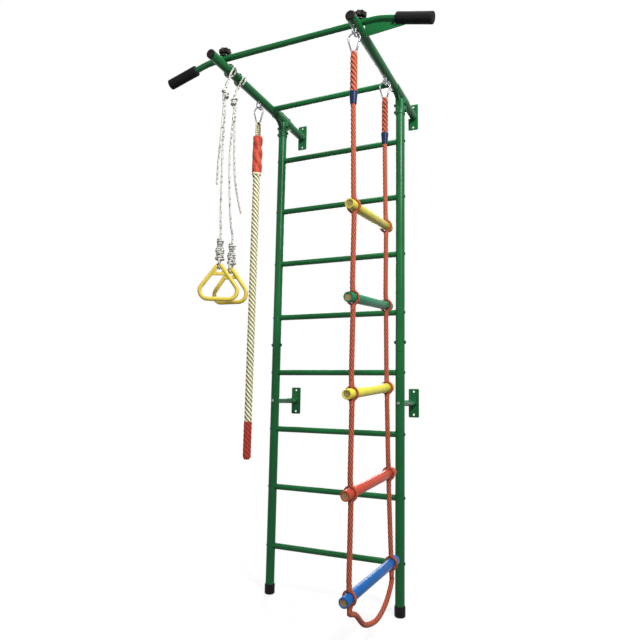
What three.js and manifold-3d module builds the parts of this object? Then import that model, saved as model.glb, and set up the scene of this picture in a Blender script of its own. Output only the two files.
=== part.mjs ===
// Wall bars of steel tube with a pull-up bar, a climbing rope, a rope ladder and a pair of rings.
// Millimetres, Z up. The uprights' axes stand in the plane Y = 0, the wall is behind them at +Y and
// X runs from the left upright to the right one. The whole is moved at the end so that the origin is
// on the floor, in the middle of the outline.
import * as THREE from "three";
import { mergeVertices } from "three/addons/utils/BufferGeometryUtils.js";
import Module from "manifold-3d";

const wasm = await Module();
wasm.setup();

// Clearances
const FIT = 0.4; // gap on each side between pieces that touch
const LINK_GAP = 0.5; // gap between two links that swing on each other
const OVERRUN = 2; // how far a cutter reaches past what it cuts

// Uprights and rungs
const UPRIGHT_SPACING = 582;
const UPRIGHT_DIAMETER = 38;
const UPRIGHT_WALL = 1.5;
const RUNG_COUNT = 8;
const RUNG_PITCH = 250;
const BOTTOM_RUNG_HEIGHT = 200;
const RUNG_DIAMETER = 25;
const RUNG_WALL = 1.5;
const RUNG_SETBACK = 8; // a rung stops this far short of the upright's axis
const JOINT_GAP = 4; // the tubes of an upright meet in the gap above this rung, counted from the floor
const SPIGOT_RISE = 80; // spigot above the seam
const SPIGOT_GRIP = 60; // spigot below the seam
const SPIGOT_WALL = 1.5;
const JOINT_BOLT_RISE = 40; // bolt above the seam
const FOOT_CAP_HEIGHT = 42;
const FOOT_CAP_BASE = 6;
const FOOT_CAP_WALL = 2.5;
const FOOT_CAP_CHAMFER = 4;

// Arms and crossbar
const ARM_RISE = 207; // arm's axis above the top rung
const ARM_DIAMETER = 37;
const ARM_WALL = 2;
const ARM_REACH = 592; // front end from the uprights' axes
const WALL_DISTANCE = 210; // wall from the uprights' axes
const ARM_CAP_DEPTH = 22; // plug inside the arm
const ARM_CAP_BASE = 7;
const CROSSBAR_REACH = 114;
const CROSSBAR_DIAMETER = 25;
const CROSSBAR_WALL = 1.5;

// Wall plates and lower brackets
const PLATE_WIDTH = 46;
const PLATE_HEIGHT = 125;
const PLATE_THICKNESS = 4;
const PLATE_CORNER = 5;
const PLATE_HOLE = 9;
const PLATE_HOLE_SPACING = 100;
const BRACKET_GAP = 3; // the brackets sit in the gap above this rung, counted from the floor
const STRUT_DIAMETER = 25;
const STRUT_WALL = 2;
const STRUT_PLUG = 18; // solid end of the strut behind the upright
const BRACKET_BOLT_DEPTH = 12; // thread in the plug

// Tee clamps
const CLAMP_WALL = 2.5;
const CLAMP_DROP = 86; // lower end below the arm's axis
const CLAMP_BACK = 76; // rear end behind the upright's axis
const CLAMP_LIP = 12; // straight end of the clamp past its fillet
const CLAMP_FILLET = 48;
const CLAMP_WEB = 9; // half thickness of the filled corners
const CLAMP_BOLT_DROPS = [38, 70];
const CLAMP_EAR_RISE = 13; // ear above the clamp's round top
const CLAMP_EAR_FRONT = 32;
const CLAMP_EAR_BACK = 74;
const CLAMP_EAR_THICKNESS = 3;

// Bolts
const BOLT_DIAMETER = 8;
const BOLT_HEAD_WIDTH = 14;
const BOLT_HEAD_HEIGHT = 5;

// Pull-up bar, grips and knobs
const BAR_DIAMETER = 25;
const BAR_WALL = 2;
const BAR_REACH = 499; // in front of the uprights' axes
const BAR_STRAIGHT_PAST_ARM = 39; // the bar is straight this far past each arm's axis
const BAR_BEND_RADIUS = 250;
const BAR_BEND_DEGREES = 15;
const BAR_END_LENGTH = 165; // straight length past the bend
const WEB_THICKNESS = 4;
const WEB_DEPTH_INNER = 59; // lower edge of the web below the bar's axis, beside the arm
const WEB_DEPTH_OUTER = 53; // the same beside the grip
const WEB_TONGUE = 36; // the web runs on this far under the grip
const GRIP_DIAMETER = 42;
const GRIP_LENGTH = 136;
const GRIP_END = 5;
const GRIP_ROUND = 4;
const KNOB_DIAMETER = 50;
const KNOB_LOBES = 8;
const KNOB_LOBE_DEPTH = 5;
const KNOB_HEIGHT = 20;
const KNOB_BEVEL = 2;
const KNOB_HUB_DIAMETER = 26;
const KNOB_HUB_HEIGHT = 6;
const STUD_DIAMETER = 10;
const STUD_BELOW_ARM_TOP = 14;

// Hanger loops and snap hooks
const HANGER_WIRE = 6;
const HANGER_DROP = 29.5; // loop's lowest axis below the arm
const HANGER_TOP_WIDTH = 22;
const HANGER_WIDTH = 38;
const ROPE_HANGER_REACH = 226;
const LADDER_FRONT_REACH = 555;
const LADDER_REAR_REACH = 212;
const HOOK_WIRE = 6;
const HOOK_LENGTH = 80; // between the axes of the top and bottom bends
const HOOK_TOP_RADIUS = 22;
const HOOK_BOTTOM_RADIUS = 8.5;
const GATE_FROM = 0.17; // pivot and nose, as shares of the straight side from its lower end
const GATE_TO = 0.8;
const GATE_DIAMETER = 7;
const GATE_PIN = 2.4;
const GATE_TONGUE = 2.2; // thickness of the hook's flattened end

// Climbing rope
const ROPE_DIAMETER = 32;
const ROPE_END_HEIGHT = 585;
const THIMBLE_WIRE = 5;
const THIMBLE_RADIUS = 12;
const THIMBLE_DROP = 66; // thimble's crown to the sleeve
const THIMBLE_SUNK = 24; // legs inside the sleeve
const TOP_SLEEVE_LENGTH = 168;
const TOP_SLEEVE_DIAMETER = 44;
const TOP_SLEEVE_WAVES = 3;
const TOP_SLEEVE_WAVE = 2; // depth of the hollows between its lumps
const BOTTOM_SLEEVE_LENGTH = 152;
const BOTTOM_SLEEVE_DIAMETER = 34;

// Rope ladder
const LADDER_RUNG_COUNT = 5;
const LADDER_RUNG_DIAMETER = 34;
const LADDER_RUNG_LENGTH = 425;
const LADDER_TOP_DROP = 612; // top rung below the hangers
const LADDER_BOTTOM_HEIGHT = 243;
const LADDER_FRONT_SAG = 26; // front rope lower than the rear rope at each rung
const LADDER_SIDESTEP = 6; // front ends of the rungs beside the hangers
const LADDER_BOTTOM_TWIST = 4.3; // degrees that the bottom rung has turned about the front rope
const LADDER_ROPE_DIAMETER = 18;
const LADDER_STRAND_DIAMETER = 7; // each half of the rope where it is opened for a rung
const LADDER_STRAND_GAP = 0.6;
const LADDER_OPENING_RISE = 3; // the rope is whole again this far above and below a rung
const LADDER_SPLICE_DIAMETER = 26;
const LADDER_SPLICE_LENGTH = 142;
const LADDER_EYE_RISE = 8; // rope above the hook's lowest axis
const LADDER_LOOP_DEPTH = 142; // lowest axis of the bottom loop below the bottom rung
const TAPE_LENGTH = 44;
const TAPE_WALL = 1.2;
const TAPE_GAP = 1;

// Rings and their ropes
const RING_BAR = 17;
const RING_WIDTH = 160;
const RING_HEIGHT = 150;
const RING_APEX_RADIUS = 13;
const RING_CORNER_RADIUS = 33;
const RING_WEB_DEPTH = 40; // lower edge of the web below the apex bar's axis
const RING_WEB_THICKNESS = 9;
const RING_HOLE_DIAMETER = 22;
const RING_HOLE_DROP = 18.5; // rope hole below the apex bar's axis
const RING_BOTTOM_HEIGHT = 1202;
const RING_ROPE_DIAMETER = 8;
const RING_ROPE_GAP = 1.5;
const ARM_TURN_SPAN = 630; // degrees of rope round the arm
const ARM_TURN_PITCH = 20;
const UPPER_KNOT_PITCH = 9.6;
const UPPER_KNOT_TURNS = 3;
const UPPER_KNOT_DROP = 127; // lower end of the upper knot below the arm's axis
const LOWER_KNOT_PITCH = 16;
const LOWER_KNOT_TURNS = 4;
const LOWER_KNOT_SWELL = 3; // wider than the upper knot
const LOWER_KNOT_RISE = 38; // lower end of the lower knot above the apex bar

// One entry for each ring: reach of the ring and of the turns on the arm, turn of the ring about the
// vertical, bow of the strand as [reach, height] and the free tail as [reach, height] from its end up.
const RING_SETS = [
  {
    name: "front",
    reach: 476,
    turnsReach: 458,
    yaw: 28,
    bow: [[484, 1990], [487, 1770], [479, 1500]],
    tail: [[516, 1657], [513, 1740], [505, 1840], [497, 1930], [493, 1995]],
  },
  {
    name: "rear",
    reach: 394,
    turnsReach: 384,
    yaw: 5,
    bow: [[421, 1990], [436, 1790], [408, 1520]],
    tail: [[337, 1591], [362, 1640], [392, 1720], [405, 1830], [410, 1995]],
  },
];

// Facets
const TUBE_SIDES = 16;
const RUNG_SIDES = 12;
const WIRE_SIDES = 6;
const CORD_SIDES = 6;
const BOLT_SIDES = 8;
const LATHE_SIDES = 16;

// Places that follow from the sizes above
const HALF = UPRIGHT_SPACING / 2;
const UPRIGHT_RADIUS = UPRIGHT_DIAMETER / 2;
const ARM_RADIUS = ARM_DIAMETER / 2;
const BAR_RADIUS = BAR_DIAMETER / 2;
const BAR_STRAIGHT_HALF = HALF + BAR_STRAIGHT_PAST_ARM;
const rungHeight = (number) => BOTTOM_RUNG_HEIGHT + (number - 1) * RUNG_PITCH;
const gapMiddle = (number) => (rungHeight(number) + rungHeight(number + 1)) / 2;
const ARM_HEIGHT = rungHeight(RUNG_COUNT) + ARM_RISE;
const UPRIGHT_TOP = ARM_HEIGHT - ARM_RADIUS - FIT;
const UPRIGHT_FOOT = FOOT_CAP_BASE + FIT;
const JOINT_BOLT_HEIGHT = gapMiddle(JOINT_GAP);
const SEAM_HEIGHT = JOINT_BOLT_HEIGHT - JOINT_BOLT_RISE;
const BRACKET_HEIGHT = gapMiddle(BRACKET_GAP);
const BAR_HEIGHT = ARM_HEIGHT + ARM_RADIUS + FIT + BAR_RADIUS;
const HANGER_HEIGHT = ARM_HEIGHT - ARM_RADIUS - HANGER_DROP;
const HOOK_CROWN = HANGER_HEIGHT + (HANGER_WIRE + HOOK_WIRE) / 2 + LINK_GAP;
const HOOK_FOOT = HOOK_CROWN - HOOK_LENGTH;
const CLAMP_TUBE_RADIUS = UPRIGHT_RADIUS + FIT + CLAMP_WALL;
const CLAMP_ARM_RADIUS = ARM_RADIUS + FIT + CLAMP_WALL;
const SIDES = [["left", -1], ["right", 1]];

// Finishes
const finish = (color, roughness, metalness) => () =>
  new THREE.MeshStandardMaterial({ color, roughness, metalness });
const greenPaint = finish(0x1f6b3a, 0.35, 0.1);
const blackPlastic = finish(0x1b1b1d, 0.6, 0);
const steel = finish(0xb9bcc0, 0.3, 0.9);
const brass = finish(0xb59a52, 0.4, 0.8);
const creamRope = finish(0xe9e2bd, 0.9, 0);
const redSleeve = finish(0xd94f3a, 0.5, 0);
const orangeRope = finish(0xd0603a, 0.9, 0);
const blueTape = finish(0x234a9c, 0.4, 0);
const yellowPlastic = finish(0xe8c33c, 0.35, 0);
const whiteRope = finish(0xeeeeea, 0.9, 0);
const ladderRungFinishes = [0xe8dc45, 0x1f8a63, 0xe8dc45, 0xe0563c, 0x2a62c0].map((c) => finish(c, 0.4, 0));

const part = new THREE.Group();

// A closed geometry as a solid with its faces pointing out.
function solidOf(geometry) {
  const bare = new THREE.BufferGeometry();
  const loose = geometry.index ? geometry.toNonIndexed() : geometry;
  bare.setAttribute("position", loose.getAttribute("position").clone());
  const merged = mergeVertices(bare, 1e-4);
  const corners = merged.index.array;
  const triangles = [];
  for (let i = 0; i < corners.length; i += 3) {
    const [a, b, c] = [corners[i], corners[i + 1], corners[i + 2]];
    if (a !== b && b !== c && c !== a) triangles.push([a, b, c]);
  }
  const make = (list) =>
    new wasm.Manifold(
      new wasm.Mesh({
        numProp: 3,
        vertProperties: merged.attributes.position.array,
        triVerts: Uint32Array.from(list.flat()),
      }),
    );
  const made = make(triangles);
  return made.volume() > 0 ? made : make(triangles.map(([a, b, c]) => [a, c, b]));
}

// A solid as a named mesh of the part.
function addPiece(name, solid, makeMaterial) {
  const { numProp, numVert, vertProperties, triVerts } = solid.getMesh();
  const places = new Float32Array(numVert * 3);
  for (let i = 0; i < numVert; i++) {
    places.set(vertProperties.subarray(i * numProp, i * numProp + 3), i * 3);
  }
  const geometry = new THREE.BufferGeometry();
  geometry.setAttribute("position", new THREE.BufferAttribute(places, 3));
  geometry.setIndex(new THREE.BufferAttribute(triVerts, 1));
  geometry.computeVertexNormals();
  const mesh = new THREE.Mesh(geometry, makeMaterial());
  mesh.name = name;
  part.add(mesh);
}

// Straight round bar between two points.
function rod(from, to, diameter, sides = TUBE_SIDES) {
  const start = new THREE.Vector3(...from);
  const run = new THREE.Vector3(...to).sub(start);
  const geometry = new THREE.CylinderGeometry(diameter / 2, diameter / 2, run.length(), sides);
  const upright = new THREE.Vector3(0, 1, 0);
  geometry.applyQuaternion(new THREE.Quaternion().setFromUnitVectors(upright, run.clone().normalize()));
  geometry.translate(...run.multiplyScalar(0.5).add(start).toArray());
  return solidOf(geometry);
}

// The same bar made longer at both ends, for cutting.
function cutter(from, to, diameter, sides = TUBE_SIDES) {
  const start = new THREE.Vector3(...from);
  const end = new THREE.Vector3(...to);
  const extra = end.clone().sub(start).normalize().multiplyScalar(OVERRUN);
  return rod(start.sub(extra).toArray(), end.add(extra).toArray(), diameter, sides);
}

function tube(from, to, diameter, wall, sides = TUBE_SIDES) {
  return rod(from, to, diameter, sides).subtract(cutter(from, to, diameter - 2 * wall, sides));
}

function block(low, high) {
  const size = high.map((value, i) => value - low[i]);
  const geometry = new THREE.BoxGeometry(...size);
  geometry.translate(...low.map((value, i) => value + size[i] / 2));
  return solidOf(geometry);
}

// Turned piece from a closed [radius, height] outline, its axis along Z.
function turned(outline, sides = LATHE_SIDES) {
  const points = [...outline, outline[0]].map(([radius, height]) => new THREE.Vector2(radius, height));
  return new THREE.LatheGeometry(points, sides).rotateX(Math.PI / 2);
}

// Flat [across, up] outline, thick along Y about Y = 0.
function plate(outline, thickness) {
  const shape = new THREE.Shape(outline.map(([across, up]) => new THREE.Vector2(across, up)));
  const geometry = new THREE.ExtrudeGeometry(shape, { depth: thickness, bevelEnabled: false });
  return geometry.translate(0, 0, -thickness / 2).rotateX(Math.PI / 2);
}

// Round tube of changing radius along points, open with flat ends or closed on itself.
function sweep(points, radiusAt, sides, closed = false, firstNormal = new THREE.Vector3(0, 0, 1)) {
  const count = points.length;
  const at = (i) => points[closed ? (i + count) % count : Math.min(Math.max(i, 0), count - 1)];
  const tangents = points.map((_, i) => at(i + 1).clone().sub(at(i - 1)).normalize());
  const normal = firstNormal.clone();
  if (Math.abs(normal.dot(tangents[0])) > 0.9) normal.set(1, 0, 0);
  normal.addScaledVector(tangents[0], -normal.dot(tangents[0])).normalize();
  const turn = new THREE.Quaternion();
  const places = [];
  points.forEach((point, i) => {
    if (i > 0) normal.applyQuaternion(turn.setFromUnitVectors(tangents[i - 1], tangents[i]));
    const side = tangents[i].clone().cross(normal);
    for (let k = 0; k < sides; k++) {
      const angle = (2 * Math.PI * k) / sides;
      const reach = radiusAt(i);
      const rim = point.clone().addScaledVector(normal, reach * Math.cos(angle));
      places.push(...rim.addScaledVector(side, reach * Math.sin(angle)).toArray());
    }
  });
  const faces = [];
  const rings = closed ? count : count - 1;
  for (let i = 0; i < rings; i++) {
    for (let k = 0; k < sides; k++) {
      const a = i * sides + k;
      const b = i * sides + ((k + 1) % sides);
      const c = ((i + 1) % count) * sides + k;
      const d = ((i + 1) % count) * sides + ((k + 1) % sides);
      faces.push(a, b, c, b, d, c);
    }
  }
  for (let k = 1; !closed && k < sides - 1; k++) {
    const last = (count - 1) * sides;
    faces.push(0, k + 1, k, last, last + k, last + k + 1);
  }
  const geometry = new THREE.BufferGeometry();
  geometry.setAttribute("position", new THREE.Float32BufferAttribute(places, 3));
  geometry.setIndex(faces);
  return solidOf(geometry);
}

const vector = (x, y, z) => new THREE.Vector3(x, y, z);
const radians = THREE.MathUtils.degToRad;

// Smooth curve through chosen points, with this many steps from each point to the next.
function smooth(points, steps) {
  const curve = new THREE.CatmullRomCurve3(points, false, "centripetal");
  return curve.getPoints((points.length - 1) * steps);
}

// Outward direction of the straight stretch that runs from one circle [x, y, radius] to the next.
function tangentAngle([ax, ay, ar], [bx, by, br]) {
  const run = Math.atan2(by - ay, bx - ax);
  return run - Math.PI / 2 + Math.asin((ar - br) / Math.hypot(bx - ax, by - ay));
}

// Arcs of a belt pulled tight round circles that are listed anticlockwise, one list of [x, y] for each.
function beltArcs(circles, steps) {
  return circles.map((circle, i) => {
    const from = tangentAngle(circles.at(i - 1), circle);
    const to = tangentAngle(circle, circles[(i + 1) % circles.length]);
    const span = (to - from + 2 * Math.PI) % (2 * Math.PI);
    const [x, y, radius] = circle;
    return Array.from({ length: steps + 1 }, (_, k) => {
      const angle = from + (span * k) / steps;
      return [x + radius * Math.cos(angle), y + radius * Math.sin(angle)];
    });
  });
}

// Least gap of a cord to itself, measured between points that are not neighbours along it.
function leastGap(points, diameter) {
  const along = [0];
  points.forEach((point, i) => i > 0 && along.push(along[i - 1] + point.distanceTo(points[i - 1])));
  let least = Infinity;
  points.forEach((point, i) => {
    for (let j = i + 1; j < points.length; j++) {
      if (along[j] - along[i] > 3 * diameter) least = Math.min(least, point.distanceTo(points[j]));
    }
  });
  return least - diameter;
}

// Bolt right through, with a head on the end it points to and a nut on the other.
function throughBolt(middle, direction, grip) {
  const place = (distance) => middle.map((value, i) => value + direction[i] * distance);
  const shank = rod(place(-grip / 2 - 1), place(grip / 2 + 1), BOLT_DIAMETER, BOLT_SIDES);
  const head = rod(place(grip / 2), place(grip / 2 + BOLT_HEAD_HEIGHT), BOLT_HEAD_WIDTH, 6);
  const nut = rod(place(-grip / 2 - BOLT_HEAD_HEIGHT), place(-grip / 2), BOLT_HEAD_WIDTH, 6);
  return shank.add(head).add(nut);
}

function boltHole(middle, direction, length) {
  const place = (distance) => middle.map((value, i) => value + direction[i] * distance);
  return rod(place(-length / 2), place(length / 2), BOLT_DIAMETER + 2 * FIT, BOLT_SIDES);
}

// Uprights: a lower tube with a spigot, an upper tube over it, and the rungs let into their inner walls.
function uprightHoles(x, side, low, high) {
  const holes = [];
  for (let number = 1; number <= RUNG_COUNT; number++) {
    const z = rungHeight(number);
    if (z < low || z > high) continue;
    holes.push(rod([x, 0, z], [x - side * UPRIGHT_DIAMETER, 0, z], RUNG_DIAMETER + 2 * FIT, RUNG_SIDES));
  }
  holes.push(boltHole([x, 0, JOINT_BOLT_HEIGHT], [1, 0, 0], 2 * UPRIGHT_DIAMETER));
  holes.push(boltHole([x, 0, BRACKET_HEIGHT], [0, 1, 0], 2 * UPRIGHT_DIAMETER));
  for (const drop of CLAMP_BOLT_DROPS) {
    holes.push(boltHole([x, 0, ARM_HEIGHT - drop], [1, 0, 0], 2 * UPRIGHT_DIAMETER));
  }
  return holes;
}

function addUpright(name, side) {
  const x = side * HALF;
  const bore = UPRIGHT_DIAMETER - 2 * UPRIGHT_WALL;
  const spigot = bore - 2 * FIT;
  const spigotTop = SEAM_HEIGHT + SPIGOT_RISE;
  const spigotFoot = SEAM_HEIGHT - SPIGOT_GRIP;
  let lower = rod([x, 0, UPRIGHT_FOOT], [x, 0, SEAM_HEIGHT], UPRIGHT_DIAMETER);
  lower = lower.add(rod([x, 0, SEAM_HEIGHT - 1], [x, 0, spigotTop], spigot));
  lower = lower.subtract(cutter([x, 0, UPRIGHT_FOOT], [x, 0, spigotFoot], bore));
  lower = lower.subtract(cutter([x, 0, spigotFoot], [x, 0, spigotTop], spigot - 2 * SPIGOT_WALL));
  let upper = tube([x, 0, SEAM_HEIGHT + FIT], [x, 0, UPRIGHT_TOP], UPRIGHT_DIAMETER, UPRIGHT_WALL);
  for (const hole of uprightHoles(x, side, UPRIGHT_FOOT, SEAM_HEIGHT)) lower = lower.subtract(hole);
  for (const hole of uprightHoles(x, side, SEAM_HEIGHT, UPRIGHT_TOP)) upper = upper.subtract(hole);
  addPiece(`upright_${name}_lower`, lower, greenPaint);
  addPiece(`upright_${name}_upper`, upper, greenPaint);

  const outside = UPRIGHT_RADIUS + FIT + FOOT_CAP_WALL;
  const inside = UPRIGHT_RADIUS + FIT;
  const cap = turned([
    [0, 0],
    [outside - FOOT_CAP_CHAMFER, 0],
    [outside, FOOT_CAP_CHAMFER],
    [outside, FOOT_CAP_HEIGHT],
    [inside, FOOT_CAP_HEIGHT],
    [inside, FOOT_CAP_BASE],
    [0, FOOT_CAP_BASE],
  ]);
  addPiece(`foot_cap_${name}`, solidOf(cap.translate(x, 0, 0)), blackPlastic);
  const jointGrip = UPRIGHT_DIAMETER + 2 * FIT;
  addPiece(`joint_bolt_${name}`, throughBolt([x, 0, JOINT_BOLT_HEIGHT], [side, 0, 0], jointGrip), steel);
}

function addRungs() {
  const end = HALF - RUNG_SETBACK;
  for (let number = 1; number <= RUNG_COUNT; number++) {
    const z = rungHeight(number);
    const rung = tube([-end, 0, z], [end, 0, z], RUNG_DIAMETER, RUNG_WALL, RUNG_SIDES);
    addPiece(`rung_${number}`, rung, greenPaint);
  }
}

// Wall plate with two screw holes, its back on the wall.
function wallPlate(x, z) {
  const across = PLATE_WIDTH / 2 - PLATE_CORNER;
  const up = PLATE_HEIGHT / 2 - PLATE_CORNER;
  const corners = [[across, up], [-across, up], [-across, -up], [across, -up]];
  const outline = beltArcs(corners.map(([cx, cy]) => [cx, cy, PLATE_CORNER]), 3).flat();
  const middle = WALL_DISTANCE - PLATE_THICKNESS / 2;
  let solid = solidOf(plate(outline, PLATE_THICKNESS).translate(x, middle, z));
  for (const rise of [-PLATE_HOLE_SPACING / 2, PLATE_HOLE_SPACING / 2]) {
    const front = [x, WALL_DISTANCE - PLATE_THICKNESS, z + rise];
    solid = solid.subtract(cutter(front, [x, WALL_DISTANCE, z + rise], PLATE_HOLE, RUNG_SIDES));
  }
  return solid;
}

// Wire loop under an arm, its lowest stretch along the arm.
function hangerLoop(x, reach) {
  const rise = ARM_HEIGHT - ARM_RADIUS + ARM_WALL / 2;
  const bend = HANGER_WIRE;
  const half = HANGER_WIDTH / 2;
  const points = [
    vector(x, -reach - HANGER_TOP_WIDTH / 2, rise),
    vector(x, -reach - half, HANGER_HEIGHT + bend),
    vector(x, -reach - half + bend, HANGER_HEIGHT),
    vector(x, -reach + half - bend, HANGER_HEIGHT),
    vector(x, -reach + half, HANGER_HEIGHT + bend),
    vector(x, -reach + HANGER_TOP_WIDTH / 2, rise),
  ];
  return sweep(points, () => HANGER_WIRE / 2, WIRE_SIDES, false, vector(1, 0, 0));
}

function addArm(name, side, hangerReaches) {
  const x = side * HALF;
  const back = WALL_DISTANCE - PLATE_THICKNESS / 2;
  const front = [x, -ARM_REACH, ARM_HEIGHT];
  let arm = rod(front, [x, back, ARM_HEIGHT], ARM_DIAMETER).add(wallPlate(x, ARM_HEIGHT));
  for (const reach of hangerReaches) arm = arm.add(hangerLoop(x, reach));
  const boreEnd = [x, WALL_DISTANCE - PLATE_THICKNESS - OVERRUN, ARM_HEIGHT];
  arm = arm.subtract(cutter(front, boreEnd, ARM_DIAMETER - 2 * ARM_WALL));
  const top = [x, -BAR_REACH, ARM_HEIGHT + ARM_DIAMETER];
  arm = arm.subtract(rod([x, -BAR_REACH, ARM_HEIGHT], top, STUD_DIAMETER + 2 * LINK_GAP, RUNG_SIDES));
  addPiece(`arm_${name}`, arm, greenPaint);

  const inside = ARM_RADIUS - ARM_WALL - FIT;
  const cap = turned([
    [0, -ARM_CAP_BASE],
    [ARM_RADIUS * 0.75, -ARM_CAP_BASE],
    [ARM_RADIUS * 0.92, -ARM_CAP_BASE * 0.8],
    [ARM_RADIUS, -ARM_CAP_BASE * 0.5],
    [ARM_RADIUS, 0],
    [inside, 0],
    [inside, ARM_CAP_DEPTH],
    [0, ARM_CAP_DEPTH],
  ]);
  cap.rotateX(-Math.PI / 2).translate(x, -ARM_REACH - FIT, ARM_HEIGHT);
  addPiece(`arm_cap_${name}`, solidOf(cap), blackPlastic);
}

function addCrossbar() {
  const ends = [-HALF, HALF].map((x) => [x, -CROSSBAR_REACH, ARM_HEIGHT]);
  let bar = tube(...ends, CROSSBAR_DIAMETER, CROSSBAR_WALL, RUNG_SIDES);
  for (const [x, y, z] of ends) {
    const beside = [[x, y - CROSSBAR_DIAMETER, z], [x, y + CROSSBAR_DIAMETER, z]];
    bar = bar.subtract(rod(...beside, ARM_DIAMETER + 2 * FIT));
  }
  addPiece("top_crossbar", bar, greenPaint);
}

// Lower bracket: a strut with a plug against the upright and a plate on the wall, and its bolt.
function addBracket(name, side) {
  const x = side * HALF;
  const z = BRACKET_HEIGHT;
  const plugEnd = UPRIGHT_RADIUS + FIT + STRUT_PLUG;
  const plateFront = WALL_DISTANCE - PLATE_THICKNESS;
  let bracket = rod([x, 0, z], [x, plateFront + 1, z], STRUT_DIAMETER, RUNG_SIDES).add(wallPlate(x, z));
  const bore = STRUT_DIAMETER - 2 * STRUT_WALL;
  bracket = bracket.subtract(rod([x, plugEnd, z], [x, plateFront - 1, z], bore, RUNG_SIDES));
  const beside = [[x, 0, z - STRUT_DIAMETER], [x, 0, z + STRUT_DIAMETER]];
  bracket = bracket.subtract(rod(...beside, UPRIGHT_DIAMETER + 2 * FIT));
  bracket = bracket.subtract(rod([x, 0, z], [x, plugEnd + 1, z], BOLT_DIAMETER + 2 * FIT, BOLT_SIDES));
  addPiece(`wall_bracket_${name}`, bracket, greenPaint);

  const seat = -UPRIGHT_RADIUS - FIT;
  const tip = UPRIGHT_RADIUS + FIT + BRACKET_BOLT_DEPTH;
  const head = rod([x, seat - BOLT_HEAD_HEIGHT, z], [x, seat, z], BOLT_HEAD_WIDTH, 6);
  const shank = rod([x, seat - 1, z], [x, tip, z], BOLT_DIAMETER, BOLT_SIDES);
  addPiece(`bracket_bolt_${name}`, head.add(shank), steel);
}

// Tee clamp: two half shells that hold the arm on top of the upright, with filled concave corners.
function clampOutline() {
  const arcSteps = 5;
  const armUnder = ARM_HEIGHT - CLAMP_ARM_RADIUS;
  const corner = Array.from({ length: arcSteps + 1 }, (_, k) => {
    const angle = (k / arcSteps) * (Math.PI / 2);
    const across = CLAMP_TUBE_RADIUS + CLAMP_FILLET * (1 - Math.cos(angle));
    return [across, armUnder - CLAMP_FILLET * (1 - Math.sin(angle))];
  });
  const lowest = armUnder - CLAMP_FILLET;
  const farthest = CLAMP_TUBE_RADIUS + CLAMP_FILLET;
  return [[0, ARM_HEIGHT], [0, lowest], ...corner, [farthest, ARM_HEIGHT]];
}

function addClamp(name, side) {
  const x = side * HALF;
  const front = CLAMP_TUBE_RADIUS + CLAMP_FILLET + CLAMP_LIP;
  const low = ARM_HEIGHT - CLAMP_DROP;
  let shell = rod([x, 0, low], [x, 0, ARM_HEIGHT], 2 * CLAMP_TUBE_RADIUS);
  shell = shell.add(rod([x, -front, ARM_HEIGHT], [x, CLAMP_BACK, ARM_HEIGHT], 2 * CLAMP_ARM_RADIUS));
  for (const turn of [Math.PI / 2, -Math.PI / 2]) {
    const corner = plate(clampOutline(), 2 * CLAMP_WEB).rotateZ(turn).translate(x, 0, 0);
    shell = shell.add(solidOf(corner));
  }
  const earHalf = CLAMP_EAR_THICKNESS + FIT / 2;
  const earTop = ARM_HEIGHT + CLAMP_ARM_RADIUS + CLAMP_EAR_RISE;
  const ears = block([x - earHalf, -CLAMP_EAR_FRONT, ARM_HEIGHT], [x + earHalf, CLAMP_EAR_BACK, earTop]);
  shell = shell.add(ears);
  shell = shell.subtract(cutter([x, 0, low], [x, 0, UPRIGHT_TOP], UPRIGHT_DIAMETER + 2 * FIT));
  const armEnds = [[x, -front, ARM_HEIGHT], [x, CLAMP_BACK, ARM_HEIGHT]];
  shell = shell.subtract(cutter(...armEnds, ARM_DIAMETER + 2 * FIT));
  const reach = 2 * CLAMP_ARM_RADIUS + front + CLAMP_BACK;
  for (const drop of CLAMP_BOLT_DROPS) {
    const middle = [x, 0, ARM_HEIGHT - drop];
    shell = shell.subtract(boltHole(middle, [1, 0, 0], reach));
  }
  for (const [half, sign] of [["inner", -side], ["outer", side]]) {
    const kept = x + (sign * FIT) / 2;
    const far = x - sign * reach;
    const [from, to] = [Math.min(kept, far), Math.max(kept, far)];
    const away = block([from, -reach, low - reach], [to, reach, earTop + reach]);
    addPiece(`tee_clamp_${name}_${half}`, shell.subtract(away), greenPaint);
  }
  CLAMP_BOLT_DROPS.forEach((drop, i) => {
    const grip = 2 * (CLAMP_TUBE_RADIUS + FIT);
    const bolt = throughBolt([x, 0, ARM_HEIGHT - drop], [side, 0, 0], grip);
    addPiece(`tee_bolt_${name}_${["upper", "lower"][i]}`, bolt, steel);
  });
}

// Pull-up bar: straight in the middle, both ends bent down, with a flat web under the right bend.
function barAxis() {
  const bendSteps = 3;
  const points = [];
  for (let k = 0; k <= bendSteps; k++) {
    const angle = radians((BAR_BEND_DEGREES * k) / bendSteps);
    const across = BAR_STRAIGHT_HALF + BAR_BEND_RADIUS * Math.sin(angle);
    points.push([across, BAR_HEIGHT - BAR_BEND_RADIUS * (1 - Math.cos(angle))]);
  }
  return points;
}

const BAR_BEND_POINTS = barAxis();
const BEND = radians(BAR_BEND_DEGREES);
function barEndPoint(distance) {
  const [across, up] = BAR_BEND_POINTS.at(-1);
  return [across + distance * Math.cos(BEND), up - distance * Math.sin(BEND)];
}

function barPath(extra) {
  const axis = [...BAR_BEND_POINTS, barEndPoint(BAR_END_LENGTH + extra)];
  const right = axis.map(([across, up]) => vector(across, -BAR_REACH, up));
  const left = right.map((point) => vector(-point.x, point.y, point.z)).reverse();
  return [...left, ...right];
}

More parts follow.
